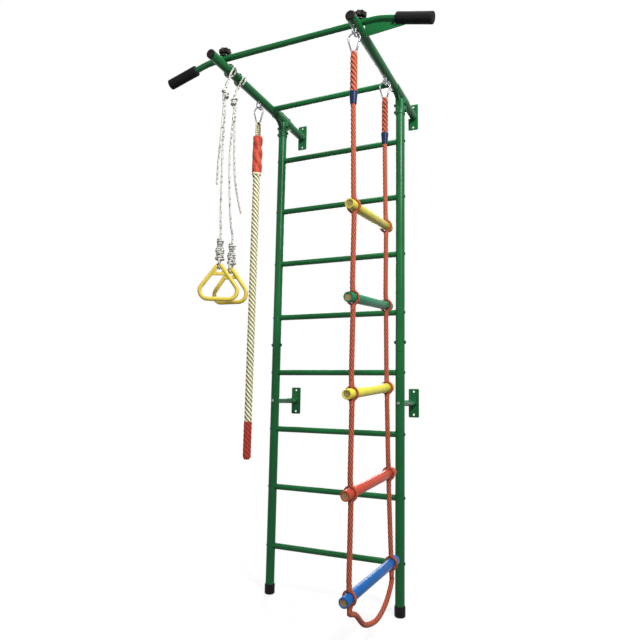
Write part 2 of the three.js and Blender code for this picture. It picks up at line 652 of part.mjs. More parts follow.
function addBar() {
  const gripStart = BAR_END_LENGTH + FIT + GRIP_END - GRIP_LENGTH;
  let bar = sweep(barPath(0), () => BAR_RADIUS, RUNG_SIDES);
  const inner = HALF + ARM_RADIUS + 2 * FIT;
  const [outer, outerUp] = barEndPoint(gripStart - FIT - GRIP_DIAMETER / 2 * Math.tan(BEND));
  const bendPart = BAR_BEND_POINTS.filter(([across]) => across > inner);
  const slope = (WEB_DEPTH_INNER - WEB_DEPTH_OUTER) / (outer - inner);
  const edgeAt = (across) => BAR_HEIGHT - WEB_DEPTH_INNER + slope * (across - inner);
  const underGrip = (GRIP_DIAMETER / 2 + FIT) / Math.cos(BEND);
  const gripAt = (across) => outerUp - underGrip - (across - outer) * Math.tan(BEND);
  const tip = outer + WEB_TONGUE;
  const outline = [
    [inner, BAR_HEIGHT],
    [inner, edgeAt(inner)],
    [tip, edgeAt(tip)],
    [tip, gripAt(tip)],
    [outer, gripAt(outer)],
    [outer, outerUp],
    ...bendPart.reverse(),
  ];
  bar = bar.add(solidOf(plate(outline, WEB_THICKNESS).translate(0, -BAR_REACH, 0)));
  bar = bar.subtract(sweep(barPath(OVERRUN), () => BAR_RADIUS - BAR_WALL, RUNG_SIDES));
  for (const [, side] of SIDES) {
    const place = (rise) => [side * HALF, -BAR_REACH, BAR_HEIGHT + rise];
    const studHole = STUD_DIAMETER + 2 * LINK_GAP;
    bar = bar.subtract(rod(place(-BAR_DIAMETER), place(BAR_DIAMETER), studHole, RUNG_SIDES));
  }
  addPiece("pull_up_bar", bar, greenPaint);

  const inside = BAR_RADIUS + FIT;
  const outside = GRIP_DIAMETER / 2;
  const grip = turned([
    [inside, 0],
    [outside - GRIP_ROUND, 0],
    [outside, GRIP_ROUND],
    [outside, GRIP_LENGTH - GRIP_ROUND],
    [outside - GRIP_ROUND, GRIP_LENGTH],
    [0, GRIP_LENGTH],
    [0, GRIP_LENGTH - GRIP_END],
    [inside, GRIP_LENGTH - GRIP_END],
  ]);
  const [across, up] = barEndPoint(gripStart);
  for (const [name, side] of SIDES) {
    const lying = grip.clone().rotateY(side * (Math.PI / 2 + BEND));
    const placed = lying.translate(side * across, -BAR_REACH, up);
    addPiece(`grip_${name}`, solidOf(placed), blackPlastic);
  }
}

// Star knob with a hub on the bar and a stud through bar and arm.
function addKnob(name, side) {
  const pointsPerLobe = 3;
  const count = KNOB_LOBES * pointsPerLobe;
  const outline = Array.from({ length: count }, (_, k) => {
    const angle = (2 * Math.PI * k) / count;
    const valley = (KNOB_LOBE_DEPTH / 2) * (1 - Math.cos(KNOB_LOBES * angle));
    const radius = KNOB_DIAMETER / 2 - KNOB_BEVEL - valley;
    return new THREE.Vector2(radius * Math.cos(angle), radius * Math.sin(angle));
  });
  const head = new THREE.ExtrudeGeometry(new THREE.Shape(outline), {
    depth: KNOB_HEIGHT - 2 * KNOB_BEVEL,
    bevelSize: KNOB_BEVEL,
    bevelThickness: KNOB_BEVEL,
    bevelSegments: 1,
  });
  const place = [side * HALF, -BAR_REACH];
  const seat = BAR_HEIGHT + BAR_RADIUS + FIT;
  const headFoot = seat + KNOB_HUB_HEIGHT;
  const hub = rod([...place, seat], [...place, headFoot + 1], KNOB_HUB_DIAMETER);
  const studFoot = ARM_HEIGHT + ARM_RADIUS - STUD_BELOW_ARM_TOP;
  const stud = rod([...place, studFoot], [...place, seat + 1], STUD_DIAMETER, RUNG_SIDES);
  const knob = solidOf(head.translate(...place, headFoot + KNOB_BEVEL)).add(hub).add(stud);
  addPiece(`knob_${name}`, knob, blackPlastic);
}

// Snap hook: a pear-shaped wire with a sprung gate on its right side, hung from its crown.
function hookParts(x, y) {
  const low = -HOOK_LENGTH + HOOK_BOTTOM_RADIUS;
  const circles = [[0, low, HOOK_BOTTOM_RADIUS], [0, -HOOK_TOP_RADIUS, HOOK_TOP_RADIUS]];
  const [bottomArc, topArc] = beltArcs(circles, 7);
  const place = ([across, up]) => vector(x + across, y, HOOK_CROWN + up);
  const foot = place(bottomArc.at(-1));
  const shoulder = place(topArc[0]);
  const pivot = foot.clone().lerp(shoulder, GATE_FROM);
  const nose = foot.clone().lerp(shoulder, GATE_TO);
  return { path: [nose, ...topArc.map(place), ...bottomArc.map(place), pivot], pivot, nose };
}

function hookSolid(x, y, diameter) {
  return sweep(hookParts(x, y).path, () => diameter / 2, WIRE_SIDES, false, vector(0, 1, 0));
}

function addHook(name, x, y) {
  const { pivot, nose } = hookParts(x, y);
  const across = (point, reach) => [
    [point.x, point.y - reach, point.z],
    [point.x, point.y + reach, point.z],
  ];
  const along = nose.clone().sub(pivot).normalize();
  const eye = GATE_DIAMETER / 2;
  const tongue = rod(...across(pivot, GATE_TONGUE / 2), GATE_DIAMETER, BOLT_SIDES);
  let hook = hookSolid(x, y, HOOK_WIRE).add(tongue);
  const clear = GATE_DIAMETER / 2 + FIT;
  for (const side of [-1, 1]) {
    const inner = side * (GATE_TONGUE / 2);
    const outer = side * GATE_DIAMETER;
    const cheek = [[pivot.x, y + inner, pivot.z], [pivot.x, y + outer, pivot.z]];
    hook = hook.subtract(rod(...cheek, 2 * (clear + FIT), TUBE_SIDES));
  }
  hook = hook.subtract(rod(...across(pivot, GATE_DIAMETER), GATE_PIN + 2 * FIT, BOLT_SIDES));
  addPiece(`hook_${name}`, hook, steel);

  const tip = nose.clone().addScaledVector(along, -FIT);
  let gate = rod(pivot.toArray(), tip.toArray(), GATE_DIAMETER, BOLT_SIDES);
  gate = gate.add(rod(...across(pivot, eye), GATE_DIAMETER, BOLT_SIDES));
  const slot = GATE_TONGUE / 2 + FIT;
  gate = gate.subtract(rod(...across(pivot, slot), 2 * (eye + FIT), TUBE_SIDES));
  gate = gate.add(rod(...across(pivot, slot + 0.5), GATE_PIN, BOLT_SIDES));
  addPiece(`hook_gate_${name}`, gate, steel);
}

// Climbing rope: thimble on the hook, a lumpy top sleeve, the rope and a bottom sleeve.
function addClimbingRope() {
  const x = -HALF;
  const y = -ROPE_HANGER_REACH;
  const crown = HOOK_FOOT + (HOOK_WIRE + THIMBLE_WIRE) / 2 + LINK_GAP;
  const sleeveTop = crown - THIMBLE_DROP;
  const centre = crown - THIMBLE_RADIUS;
  const thimblePath = (sunk) => {
    const arc = Array.from({ length: 7 }, (_, k) => {
      const angle = Math.PI - (Math.PI * k) / 6;
      return vector(x, y + THIMBLE_RADIUS * Math.cos(angle), centre + THIMBLE_RADIUS * Math.sin(angle));
    });
    const foot = sleeveTop - sunk;
    return [vector(x, y - THIMBLE_RADIUS, foot), ...arc, vector(x, y + THIMBLE_RADIUS, foot)];
  };
  const wire = (sunk, diameter) =>
    sweep(thimblePath(sunk), () => diameter / 2, WIRE_SIDES, false, vector(1, 0, 0));
  addPiece("rope_thimble", wire(THIMBLE_SUNK, THIMBLE_WIRE), brass);

  const sleeveFoot = sleeveTop - TOP_SLEEVE_LENGTH;
  const stations = 3 * TOP_SLEEVE_WAVES;
  const lumps = Array.from({ length: stations + 1 }, (_, k) => {
    const share = k / stations;
    const wave = (TOP_SLEEVE_WAVE / 2) * (1 - Math.cos(2 * Math.PI * TOP_SLEEVE_WAVES * share));
    return [TOP_SLEEVE_DIAMETER / 2 - wave, TOP_SLEEVE_LENGTH * share];
  });
  const sleeve = turned([[0, 0], ...lumps, [0, TOP_SLEEVE_LENGTH]], RUNG_SIDES).translate(x, y, sleeveFoot);
  const socket = wire(THIMBLE_SUNK + FIT, THIMBLE_WIRE + 2 * FIT);
  addPiece("rope_sleeve_top", solidOf(sleeve).subtract(socket), redSleeve);

  const lowerTop = ROPE_END_HEIGHT + BOTTOM_SLEEVE_LENGTH;
  const ends = [[x, y, lowerTop + FIT], [x, y, sleeveFoot - FIT]];
  addPiece("climbing_rope", rod(...ends, ROPE_DIAMETER, RUNG_SIDES), creamRope);
  const radius = BOTTOM_SLEEVE_DIAMETER / 2;
  const tip = turned(
    [
      [0, 0],
      [radius * 0.75, 0],
      [radius, radius * 0.3],
      [radius, BOTTOM_SLEEVE_LENGTH],
      [0, BOTTOM_SLEEVE_LENGTH],
    ],
    RUNG_SIDES,
  );
  addPiece("rope_sleeve_bottom", solidOf(tip.translate(x, y, ROPE_END_HEIGHT)), redSleeve);
}

// Rope ladder: one rope from hook to hook, opened at each rung end so that half of it passes on either
// side of the rung, and a loop under the last rung.
const LADDER_MIDDLE = (LADDER_FRONT_REACH + LADDER_REAR_REACH) / 2;
const LADDER_SPACING = LADDER_FRONT_REACH - LADDER_REAR_REACH;
const LADDER_TOP_HEIGHT = HANGER_HEIGHT - LADDER_TOP_DROP;
const LADDER_OPENING = LADDER_RUNG_DIAMETER / 2 + LADDER_OPENING_RISE;

function ladderRungFrame(index) {
  const share = index / (LADDER_RUNG_COUNT - 1);
  const height = LADDER_TOP_HEIGHT + (LADDER_BOTTOM_HEIGHT - LADDER_TOP_HEIGHT) * share;
  const tilt = Math.atan2(LADDER_FRONT_SAG, LADDER_SPACING);
  const twist = radians(LADDER_BOTTOM_TWIST) * share ** 2;
  const across = HALF + LADDER_SIDESTEP + (LADDER_SPACING / 2) * Math.sin(twist);
  const frame = new THREE.Matrix4().makeRotationFromEuler(new THREE.Euler(tilt, 0, -twist, "ZXY"));
  return frame.setPosition(across, -LADDER_MIDDLE, height);
}

// A place beside one rope of the ladder, from the axis of a rung.
function ladderPlace(index, end, across, up) {
  return vector(across, (end * LADDER_SPACING) / 2, up).applyMatrix4(ladderRungFrame(index));
}

// One half of the opened rope, from above a rung to below it.
function ladderStrand(index, end, side) {
  const merged = LADDER_STRAND_DIAMETER / 4;
  const lead = LADDER_OPENING + LADDER_STRAND_DIAMETER;
  const reach = (LADDER_RUNG_DIAMETER + LADDER_STRAND_DIAMETER) / 2 + LADDER_STRAND_GAP;
  const contact = Math.atan2(lead, merged) - Math.acos(reach / Math.hypot(merged, lead));
  const rise = reach * Math.tan(contact / 2);
  const places = [[merged, lead], [reach, rise], [reach, -rise], [merged, -lead]];
  const points = places.map(([across, up]) => ladderPlace(index, end, side * across, up));
  return sweep(points, () => LADDER_STRAND_DIAMETER / 2, CORD_SIDES);
}

// Stretch of rope between two rungs, or from the hook to the first one.
function ladderSpan(index, reach, end) {
  const foot = ladderPlace(index, end, 0, LADDER_OPENING);
  if (index > 0) {
    const top = ladderPlace(index - 1, end, 0, -LADDER_OPENING);
    return rod(top.toArray(), foot.toArray(), LADDER_ROPE_DIAMETER, CORD_SIDES);
  }
  const radii = [0.75, 1, 1].map((share) => (share * LADDER_SPLICE_DIAMETER) / 2);
  const drops = [
    -LADDER_EYE_RISE,
    -LADDER_EYE_RISE / 2,
    LADDER_SPLICE_LENGTH,
    LADDER_SPLICE_LENGTH + TAPE_LENGTH,
  ];
  const head = drops.map((drop) => vector(HALF, -reach, HOOK_FOOT - drop));
  return sweep([...head, foot], (i) => radii[i] ?? LADDER_ROPE_DIAMETER / 2, CORD_SIDES);
}

// Loop under the bottom rung, as [share of the half spacing, share of the depth].
function ladderLoop() {
  const bottom = LADDER_RUNG_COUNT - 1;
  const shares = [
    [-0.76, 0.46], [-0.4, 0.84], [0, 0.99], [0.28, 1], [0.66, 0.84], [0.94, 0.55], [1.02, 0.38],
  ];
  const points = shares.map(([out, down]) => ladderPlace(bottom, out, 0, -down * LADDER_LOOP_DEPTH));
  const start = LADDER_OPENING + LADDER_STRAND_DIAMETER / 2;
  const ends = [-1, 1].map((end) => ladderPlace(bottom, end, 0, -start));
  return sweep(smooth([ends[0], ...points, ends[1]], 2), () => LADDER_ROPE_DIAMETER / 2, CORD_SIDES);
}

function addLadder() {
  let rope = ladderLoop();
  for (const [reach, end] of [[LADDER_FRONT_REACH, -1], [LADDER_REAR_REACH, 1]]) {
    for (let index = 0; index < LADDER_RUNG_COUNT; index++) {
      rope = rope.add(ladderSpan(index, reach, end));
      rope = rope.add(ladderStrand(index, end, -1)).add(ladderStrand(index, end, 1));
    }
    rope = rope.subtract(hookSolid(HALF, -reach, HOOK_WIRE + 2 * FIT));
  }
  addPiece("ladder_rope", rope, orangeRope);

  const wide = LADDER_SPLICE_DIAMETER / 2 + TAPE_GAP;
  const narrow = LADDER_ROPE_DIAMETER / 2 + TAPE_GAP;
  const tape = turned(
    [
      [narrow, 0],
      [narrow + TAPE_WALL, 0],
      [wide + TAPE_WALL, TAPE_LENGTH],
      [wide, TAPE_LENGTH],
    ],
    RUNG_SIDES,
  );
  const tapeFoot = HOOK_FOOT - LADDER_SPLICE_LENGTH - TAPE_LENGTH;
  for (const [name, reach] of [["front", LADDER_FRONT_REACH], ["rear", LADDER_REAR_REACH]]) {
    const placed = tape.clone().translate(HALF, -reach, tapeFoot);
    addPiece(`ladder_tape_${name}`, solidOf(placed), blueTape);
  }

  for (let index = 0; index < LADDER_RUNG_COUNT; index++) {
    const length = LADDER_RUNG_LENGTH;
    const radius = LADDER_RUNG_DIAMETER / 2;
    const rung = new THREE.CylinderGeometry(radius, radius, length, RUNG_SIDES);
    const solid = solidOf(rung.applyMatrix4(ladderRungFrame(index)));
    addPiece(`ladder_rung_${index + 1}`, solid, ladderRungFinishes[index]);
  }
}

// Ring: a rounded triangle of round bar with a web under its apex and a rope hole in the web.
const RING_APEX_HEIGHT = RING_BOTTOM_HEIGHT + RING_HEIGHT - RING_BAR / 2;

function addRing({ name, reach, yaw }) {
  const bar = RING_BAR / 2;
  const height = RING_HEIGHT - RING_BAR;
  const corner = RING_WIDTH / 2 - bar - RING_CORNER_RADIUS;
  const circles = [
    [-corner, RING_CORNER_RADIUS - height, RING_CORNER_RADIUS],
    [corner, RING_CORNER_RADIUS - height, RING_CORNER_RADIUS],
    [0, -RING_APEX_RADIUS, RING_APEX_RADIUS],
  ];
  const arcs = beltArcs(circles, 5);
  const path = arcs.flat().map(([across, up]) => vector(across, 0, up));
  const loop = sweep(path, () => bar, BOLT_SIDES, true, vector(0, 1, 0));
  const [lowX, lowZ] = arcs[1].at(-1);
  const [highX, highZ] = arcs[2][0];
  const half = highX + ((lowX - highX) * (-RING_WEB_DEPTH - highZ)) / (lowZ - highZ);
  const outline = [[-half, -RING_WEB_DEPTH], [half, -RING_WEB_DEPTH], [highX, highZ], [-highX, highZ]];
  const web = solidOf(plate(outline, RING_WEB_THICKNESS));
  const hole = rod([0, -bar, -RING_HOLE_DROP], [0, bar, -RING_HOLE_DROP], RING_HOLE_DIAMETER);
  const ring = loop.add(web.subtract(hole)).rotate([0, 0, yaw]);
  const solid = ring.translate([-HALF, -reach, RING_APEX_HEIGHT]);
  addPiece(`ring_${name}`, solid, yellowPlastic);
}

// Ring rope: free tail, upper knot, turns round the arm, strand, loop through the ring, lower knot.
function addRingRope({ name, reach, turnsReach, yaw, bow, tail }) {
  const cord = RING_ROPE_DIAMETER / 2;
  const knotRadius = 2 * cord + RING_ROPE_GAP;
  const [knotReach] = bow[0];
  const x = -HALF;
  const knotSteps = 5;
  const knot = (y, foot, turns, pitch, from, swell) =>
    Array.from({ length: turns * knotSteps + 1 }, (_, k) => {
      const angle = from + (2 * Math.PI * k) / knotSteps;
      const up = foot + (pitch * k) / knotSteps;
      const radius = knotRadius + swell;
      return vector(x + radius * Math.cos(angle), y + radius * Math.sin(angle), up);
    });
  const turnSteps = Math.round((ARM_TURN_SPAN * 10) / 360);
  const turnRadius = ARM_RADIUS + cord + RING_ROPE_GAP;
  const turns = Array.from({ length: turnSteps + 1 }, (_, k) => {
    const share = k / turnSteps;
    const angle = radians(225 - ARM_TURN_SPAN * share);
    const y = -turnsReach + (ARM_TURN_PITCH * ARM_TURN_SPAN * (0.5 - share)) / 360;
    return vector(x + turnRadius * Math.cos(angle), y, ARM_HEIGHT + turnRadius * Math.sin(angle));
  });
  const upperFoot = ARM_HEIGHT - UPPER_KNOT_DROP;
  const upperTop = upperFoot + UPPER_KNOT_TURNS * UPPER_KNOT_PITCH;
  const [firstTurn, lastTurn] = [turns[0], turns.at(-1)];
  const facing = vector(Math.sin(radians(yaw)), -Math.cos(radians(yaw)), 0);
  const ringPlace = (out, up) => vector(x, -reach, RING_APEX_HEIGHT + up).addScaledVector(facing, out);
  const loopRadius = RING_BAR / 2 + cord + RING_ROPE_GAP;
  const loop = [170, 205, 240, 270, 300, 335, 370].map((degrees) => {
    const angle = radians(degrees);
    return ringPlace(loopRadius * Math.cos(angle), loopRadius * Math.sin(angle));
  });
  const facingAngle = Math.atan2(facing.y, facing.x);
  const lowerFoot = RING_APEX_HEIGHT + LOWER_KNOT_RISE;
  const lowerTop = LOWER_KNOT_RISE + LOWER_KNOT_TURNS * LOWER_KNOT_PITCH;
  const tailSide = Math.sign(knotReach - tail.at(-1)[0]);
  const points = [
    ...tail.map(([out, up]) => vector(x, -out, up)),
    ...knot(-knotReach, upperFoot, UPPER_KNOT_TURNS, UPPER_KNOT_PITCH, (tailSide * Math.PI) / 2, 0),
    vector(x - knotRadius - 4, (firstTurn.y - knotReach) / 2, (upperTop + firstTurn.z) / 2 + 6),
    ...turns,
    vector(x + 9, (lastTurn.y - knotReach) / 2, (upperTop + lastTurn.z) / 2 + 8),
    vector(x, -knotReach, upperTop + 12),
    vector(x, -knotReach, upperTop),
    vector(x, -knotReach, (upperTop + upperFoot) / 2),
    vector(x, -knotReach, upperFoot - 6),
    ...bow.map(([out, up]) => vector(x, -out, up)),
    ringPlace(0, lowerTop + 40),
    ringPlace(0, lowerTop + 6),
    ringPlace(0, LOWER_KNOT_RISE + 6),
    ringPlace(-5, LOWER_KNOT_RISE - 14),
    ...loop,
    ...knot(-reach, lowerFoot, LOWER_KNOT_TURNS, LOWER_KNOT_PITCH, facingAngle, LOWER_KNOT_SWELL),
  ];
  const path = smooth(points, 2);
  console.log(`ring_rope_${name} least gap`, leastGap(path, RING_ROPE_DIAMETER).toFixed(2));
  addPiece(`ring_rope_${name}`, sweep(path, () => cord, CORD_SIDES), whiteRope);
}

for (const [name, side] of SIDES) {
  addUpright(name, side);
  addClamp(name, side);
  addBracket(name, side);
  addKnob(name, side);
}
addRungs();
addArm("left", -1, [ROPE_HANGER_REACH]);
addArm("right", 1, [LADDER_FRONT_REACH, LADDER_REAR_REACH]);
addCrossbar();
addBar();
addHook("rope", -HALF, -ROPE_HANGER_REACH);
addHook("ladder_front", HALF, -LADDER_FRONT_REACH);
addHook("ladder_rear", HALF, -LADDER_REAR_REACH);
addClimbingRope();
addLadder();
for (const set of RING_SETS) {
  addRing(set);
  addRingRope(set);
}

// Origin on the floor, in the middle of the outline.
const outline = new THREE.Box3().setFromObject(part);
const middle = outline.getCenter(new THREE.Vector3());
part.position.set(-middle.x, -middle.y, -outline.min.z);

export default part;
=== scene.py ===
import random
from math import acos, asin, atan2, copysign, cos, hypot, pi, radians, sin, sqrt

import bpy
import numpy as np
from bpy import ops
from mathutils import Matrix, Vector


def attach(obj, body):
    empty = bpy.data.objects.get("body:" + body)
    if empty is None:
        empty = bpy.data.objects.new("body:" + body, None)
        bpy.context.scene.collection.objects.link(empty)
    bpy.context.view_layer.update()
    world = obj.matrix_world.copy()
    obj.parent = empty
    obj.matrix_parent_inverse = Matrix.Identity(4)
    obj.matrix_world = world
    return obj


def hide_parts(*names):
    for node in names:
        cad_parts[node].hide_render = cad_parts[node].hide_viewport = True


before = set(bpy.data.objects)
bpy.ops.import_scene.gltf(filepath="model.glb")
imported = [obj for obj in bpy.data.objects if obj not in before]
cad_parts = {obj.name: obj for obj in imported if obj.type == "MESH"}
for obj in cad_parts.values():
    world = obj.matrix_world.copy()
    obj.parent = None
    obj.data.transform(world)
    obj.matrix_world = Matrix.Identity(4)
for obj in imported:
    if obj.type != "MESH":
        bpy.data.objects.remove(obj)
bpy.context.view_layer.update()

random.seed(11)

# The camera fitted to the photograph: pitch, yaw and roll in degrees, its place in millimetres.
CAMERA_TURN = (7.585, -24.777, 1.1)
CAMERA_PLACE = (990.4, -2311.0, 843.2)
FOCAL_PIXELS, PICTURE_PIXELS, SENSOR = 579.7, 640, 36

# Sizes and places in millimetres, measured from the uprights' axes; at() turns them into the shared frame.
MM = 0.001
SHIFT = 194.7
HALF = 291
SIDES = (("left", -1), ("right", 1))
UPRIGHT_RADIUS = 19
UPRIGHT_FOOT = 6.4
UPRIGHT_TOP = 2138
SEAM = 1035
SLIM_RADIUS = 12.5
RUNG_END = 283
RUNG_HEIGHTS = [200 + 250 * i for i in range(8)]
ARM_Z = 2157
ARM_RADIUS = 18.5
ARM_FRONT = -592
CROSSBAR_Y = -114
CROSSBAR_END = 276
BRACKET_Z = 825
WALL = 210
PLATE_THICKNESS = 4
PLATE_HOLES = (-50, 50)
BAR_Y = -499
BAR_Z = 2188.4
BAR_STRAIGHT = 330
BAR_BEND = 250
BAR_DROOP = radians(15)
BAR_END = 165
HANGER_Z = 2109
HOOK_CROWN = 2115.5
HOOK_FOOT = 2035.5
ROPE_Y = -226
LADDER_FRONT_Y = -555
LADDER_REAR_Y = -212
THICK_STEPS = 56


def at(x, y, z):
    return Vector((x, y + SHIFT, z)) * MM


def new_object(name, data):
    made = bpy.data.objects.new(name, data)
    bpy.context.scene.collection.objects.link(made)
    return made


def set_camera():
    pitch, yaw, roll = map(radians, CAMERA_TURN)
    data = bpy.data.cameras.new("camera")
    data.sensor_width = SENSOR
    data.lens = FOCAL_PIXELS / PICTURE_PIXELS * SENSOR
    camera = new_object("camera", data)
    level = Matrix.Rotation(-yaw, 4, "Z") @ Matrix.Rotation(pi / 2 + pitch, 4, "X")
    camera.matrix_world = Matrix.Translation(at(*CAMERA_PLACE)) @ level @ Matrix.Rotation(roll, 4, "Z")
    bpy.context.scene.camera = camera


set_camera()


def linear(*colour):
    """A colour as seen on a screen, in a shader's values."""
    shares = [v / 255 for v in colour]
    return (*(v / 12.92 if v <= 0.04045 else ((v + 0.055) / 1.055) ** 2.4 for v in shares), 1.0)


def add(tree, kind, values=None, **settings):
    """A new node with settings and inputs filled in."""
    made = tree.nodes.new("ShaderNode" + kind)
    for key, value in settings.items():
        setattr(made, key, value)
    for key, value in (values or {}).items():
        made.inputs[key].default_value = value
    return made


def wired(tree, *links):
    """Links from a node's output to another's input."""
    for node, output, other, socket in links:
        tree.links.new(node.outputs[output], other.inputs[socket])


def new_group(name, inputs, outputs):
    tree = bpy.data.node_groups.new(name, "ShaderNodeTree")
    for way, labels in (("INPUT", inputs), ("OUTPUT", outputs)):
        for label in labels:
            tree.interface.new_socket(label, in_out=way, socket_type="NodeSocketFloat")
    return tree, tree.nodes.new("NodeGroupInput"), tree.nodes.new("NodeGroupOutput")


def surface_variation():
    """Broad drift of tone, fine grain and sparse specks on a solid surface."""
    tree, given, out = new_group("surface_variation", ["Broad", "Fine"], ["Tone", "Grain", "Specks"])
    place = add(tree, "TexCoord")
    broad = add(tree, "TexNoise", {"Detail": 5})
    fine = add(tree, "TexNoise", {"Detail": 2})
    specks = add(tree, "TexNoise", {"Scale": 160, "Detail": 4})
    sharp = add(tree, "MapRange", {"From Min": 0.66, "From Max": 0.74})
    wired(
        tree, (place, "Object", broad, "Vector"), (place, "Object", fine, "Vector"),
        (place, "Object", specks, "Vector"), (given, "Broad", broad, "Scale"), (given, "Fine", fine, "Scale"),
        (specks, "Fac", sharp, "Value"), (broad, "Fac", out, "Tone"), (fine, "Fac", out, "Grain"),
        (sharp, "Result", out, "Specks"),
    )
    return tree


def yarn_lines():
    """Fibres that run along a cord's own surface, by its unwrapped coordinates."""
    tree, given, out = new_group("yarn_lines", ["Around", "Slant", "Along"], ["Fibre", "Patch"])
    place, split, spot = add(tree, "UVMap"), add(tree, "SeparateXYZ"), add(tree, "CombineXYZ")
    around, slant, along = (add(tree, "Math", operation="MULTIPLY") for _ in range(3))
    both = add(tree, "Math", operation="ADD")
    fibre = add(tree, "TexNoise", {"Scale": 1, "Detail": 3})
    patch = add(tree, "TexVoronoi", {"Scale": 1, "Randomness": 0.7})
    wired(
        tree, (place, "UV", split, 0), (split, "X", around, 0), (given, "Around", around, 1),
        (split, "Y", slant, 0), (given, "Slant", slant, 1), (around, 0, both, 0), (slant, 0, both, 1),
        (split, "Y", along, 0), (given, "Along", along, 1), (both, 0, spot, "X"), (along, 0, spot, "Y"),
        (spot, 0, fibre, "Vector"), (spot, 0, patch, "Vector"), (fibre, "Fac", out, "Fibre"),
        (patch, "Distance", out, "Patch"),
    )
    return tree


SURFACE = surface_variation()
YARN = yarn_lines()
SHADER = "Principled BSDF"


def shaded(colour, share):
    return tuple(min(1.0, c * share) for c in colour[:3]) + (1.0,)


def mix_colours(tree, factor, first, second):
    mix = add(tree, "Mix", data_type="RGBA")
    tree.links.new(factor, mix.inputs[0])
    for socket, value in ((mix.inputs[6], first), (mix.inputs[7], second)):
        if isinstance(value, tuple):
            socket.default_value = value
        else:
            tree.links.new(value, socket)
    return mix.outputs[2]


def ranged(tree, value, low, high, start=0.3, stop=0.7):
    made = add(tree, "MapRange", {"From Min": start, "From Max": stop, "To Min": low, "To Max": high})
    tree.links.new(value, made.inputs["Value"])
    return made.outputs["Result"]


def bumped(tree, height, strength, distance):
    made = add(tree, "Bump", {"Strength": strength, "Distance": distance})
    tree.links.new(height, made.inputs["Height"])
    return made.outputs["Normal"]


def new_material(name, slot, **values):
    """A material with its node tree; its slot argument is not used."""
    made = bpy.data.materials.new(name)
    made.use_nodes = True
    for label, value in values.items():
        made.node_tree.nodes[SHADER].inputs[label.replace("_", " ")].default_value = value
    return made, made.node_tree


def dressed(made, tone, rough, normal):
    for label, value in (("Base Color", tone), ("Roughness", rough), ("Normal", normal)):
        made.node_tree.links.new(value, made.node_tree.nodes[SHADER].inputs[label])
    return made


def solid_finish(name, slot, colour, rough, spread, broad, fine, bump, gloss=0.5, metal=0.0, specks=None):
    """Paint, plastic, foam or metal with drifting tone, grain and specks."""
    made, tree = new_material(name, slot, Metallic=metal, Specular_IOR_Level=gloss)
    look = add(tree, "Group", node_tree=SURFACE, values={"Broad": broad, "Fine": fine})
    base, drift = linear(*colour), look.outputs["Tone"]
    tone = mix_colours(tree, ranged(tree, drift, 0, 1), shaded(base, 1 - spread), shaded(base, 1 + spread))
    if specks:
        tone = mix_colours(tree, look.outputs["Specks"], tone, linear(*specks))
    dull = ranged(tree, drift, rough - 0.06, rough + 0.08)
    return dressed(made, tone, dull, bumped(tree, look.outputs["Grain"], bump, 0.0004))


def rope_finish(name, slot, colour, groove, around, slant, along, bump, hollows=(0.25, 0.95), rough=0.85,
                flecks=None):
    """Rope with fibres along its strands, painted shade in its grooves and, on some, dark flecks."""
    made, tree = new_material(name, slot, Sheen_Weight=0.15, Specular_IOR_Level=0.22)
    yarn = add(tree, "Group", node_tree=YARN, values={"Around": around, "Slant": slant, "Along": along})
    hollow = add(tree, "Attribute", attribute_name="groove")
    base, fibre = linear(*colour), yarn.outputs["Fibre"]
    tone = mix_colours(tree, ranged(tree, fibre, 0, 1), shaded(base, 0.84), shaded(base, 1.06))
    # Painted shade: the deeper a point lies in a groove between strands, the more its colour turns to the
    # darker groove colour.
    groove_shade_mask = ranged(tree, hollow.outputs["Fac"], 0, 1, *hollows)
    tone = mix_colours(tree, groove_shade_mask, tone, linear(*groove))
    if flecks:
        dots = ranged(tree, yarn.outputs["Patch"], 1, 0, 0.35, 0.43)
        tone = mix_colours(tree, dots, tone, linear(*flecks))
    dull = ranged(tree, fibre, rough - 0.1, rough + 0.1)
    return dressed(made, tone, dull, bumped(tree, fibre, bump, 0.0006))


# Name, slot and colour, then roughness, spread of the tone, broad scale, fine scale, bump and gloss.
ENAMEL = solid_finish("green_enamel", "green_paint", (18, 92, 46), 0.3, 0.16, 5, 900, 0.04, 0.14)
ENAMEL_BOLT = solid_finish(
    "green_enamel_on_bolts", "bolt_paint", (16, 58, 33), 0.42, 0.2, 40, 1400, 0.15, 0.1, specks=(48, 62, 54))
BLACK = solid_finish("black_moulded_plastic", "black_plastic", (24, 20, 20), 0.5, 0.2, 20, 2200, 0.25, 0.1)
FOAM = solid_finish(
    "black_grip_foam", "grip_foam", (25, 25, 27), 0.8, 0.25, 14, 1100, 0.6, 0.08, specks=(38, 38, 42))
STEEL = solid_finish("bright_zinc_steel", "steel", (128, 130, 132), 0.34, 0.25, 60, 1500, 0.08, metal=1.0)
BRASS = solid_finish("yellow_zinc", "brass", (112, 94, 46), 0.4, 0.25, 80, 1500, 0.1, metal=0.8)
PALE_LIP = solid_finish("pale_inner_sleeve", "cream_rope", (240, 226, 190), 0.6, 0.1, 60, 700, 0.1, 0.2)
TAPE = solid_finish("blue_binding_tape", "blue_tape", (22, 38, 74), 0.35, 0.25, 90, 600, 0.25, 0.12)
YELLOW = solid_finish("yellow_moulded_ring", "yellow_plastic", (212, 188, 76), 0.3, 0.09, 25, 900, 0.03, 0.2)
WOOD = solid_finish("bare_wood_end", "rung_yellow", (150, 126, 84), 0.6, 0.2, 120, 900, 0.3, 0.1)
# Rungs 1 and 3 are the same yellow plastic: rung 1's copy is darker, painted shade, and rung 3's lighter,
# painted light.
RUNG_SKINS = [
    solid_finish("ladder_rung_" + name, slot, colour, 0.34, 0.08, 18, 700, 0.04, 0.12)
    for name, slot, colour in (
        ("yellow", "rung_yellow", (192, 182, 70)), ("green", "rung_green", (14, 110, 74)),
        ("yellow_2", "rung_yellow", (214, 206, 66)), ("red", "rung_red", (176, 66, 46)),
        ("blue", "rung_blue", (20, 88, 154)),
    )
]
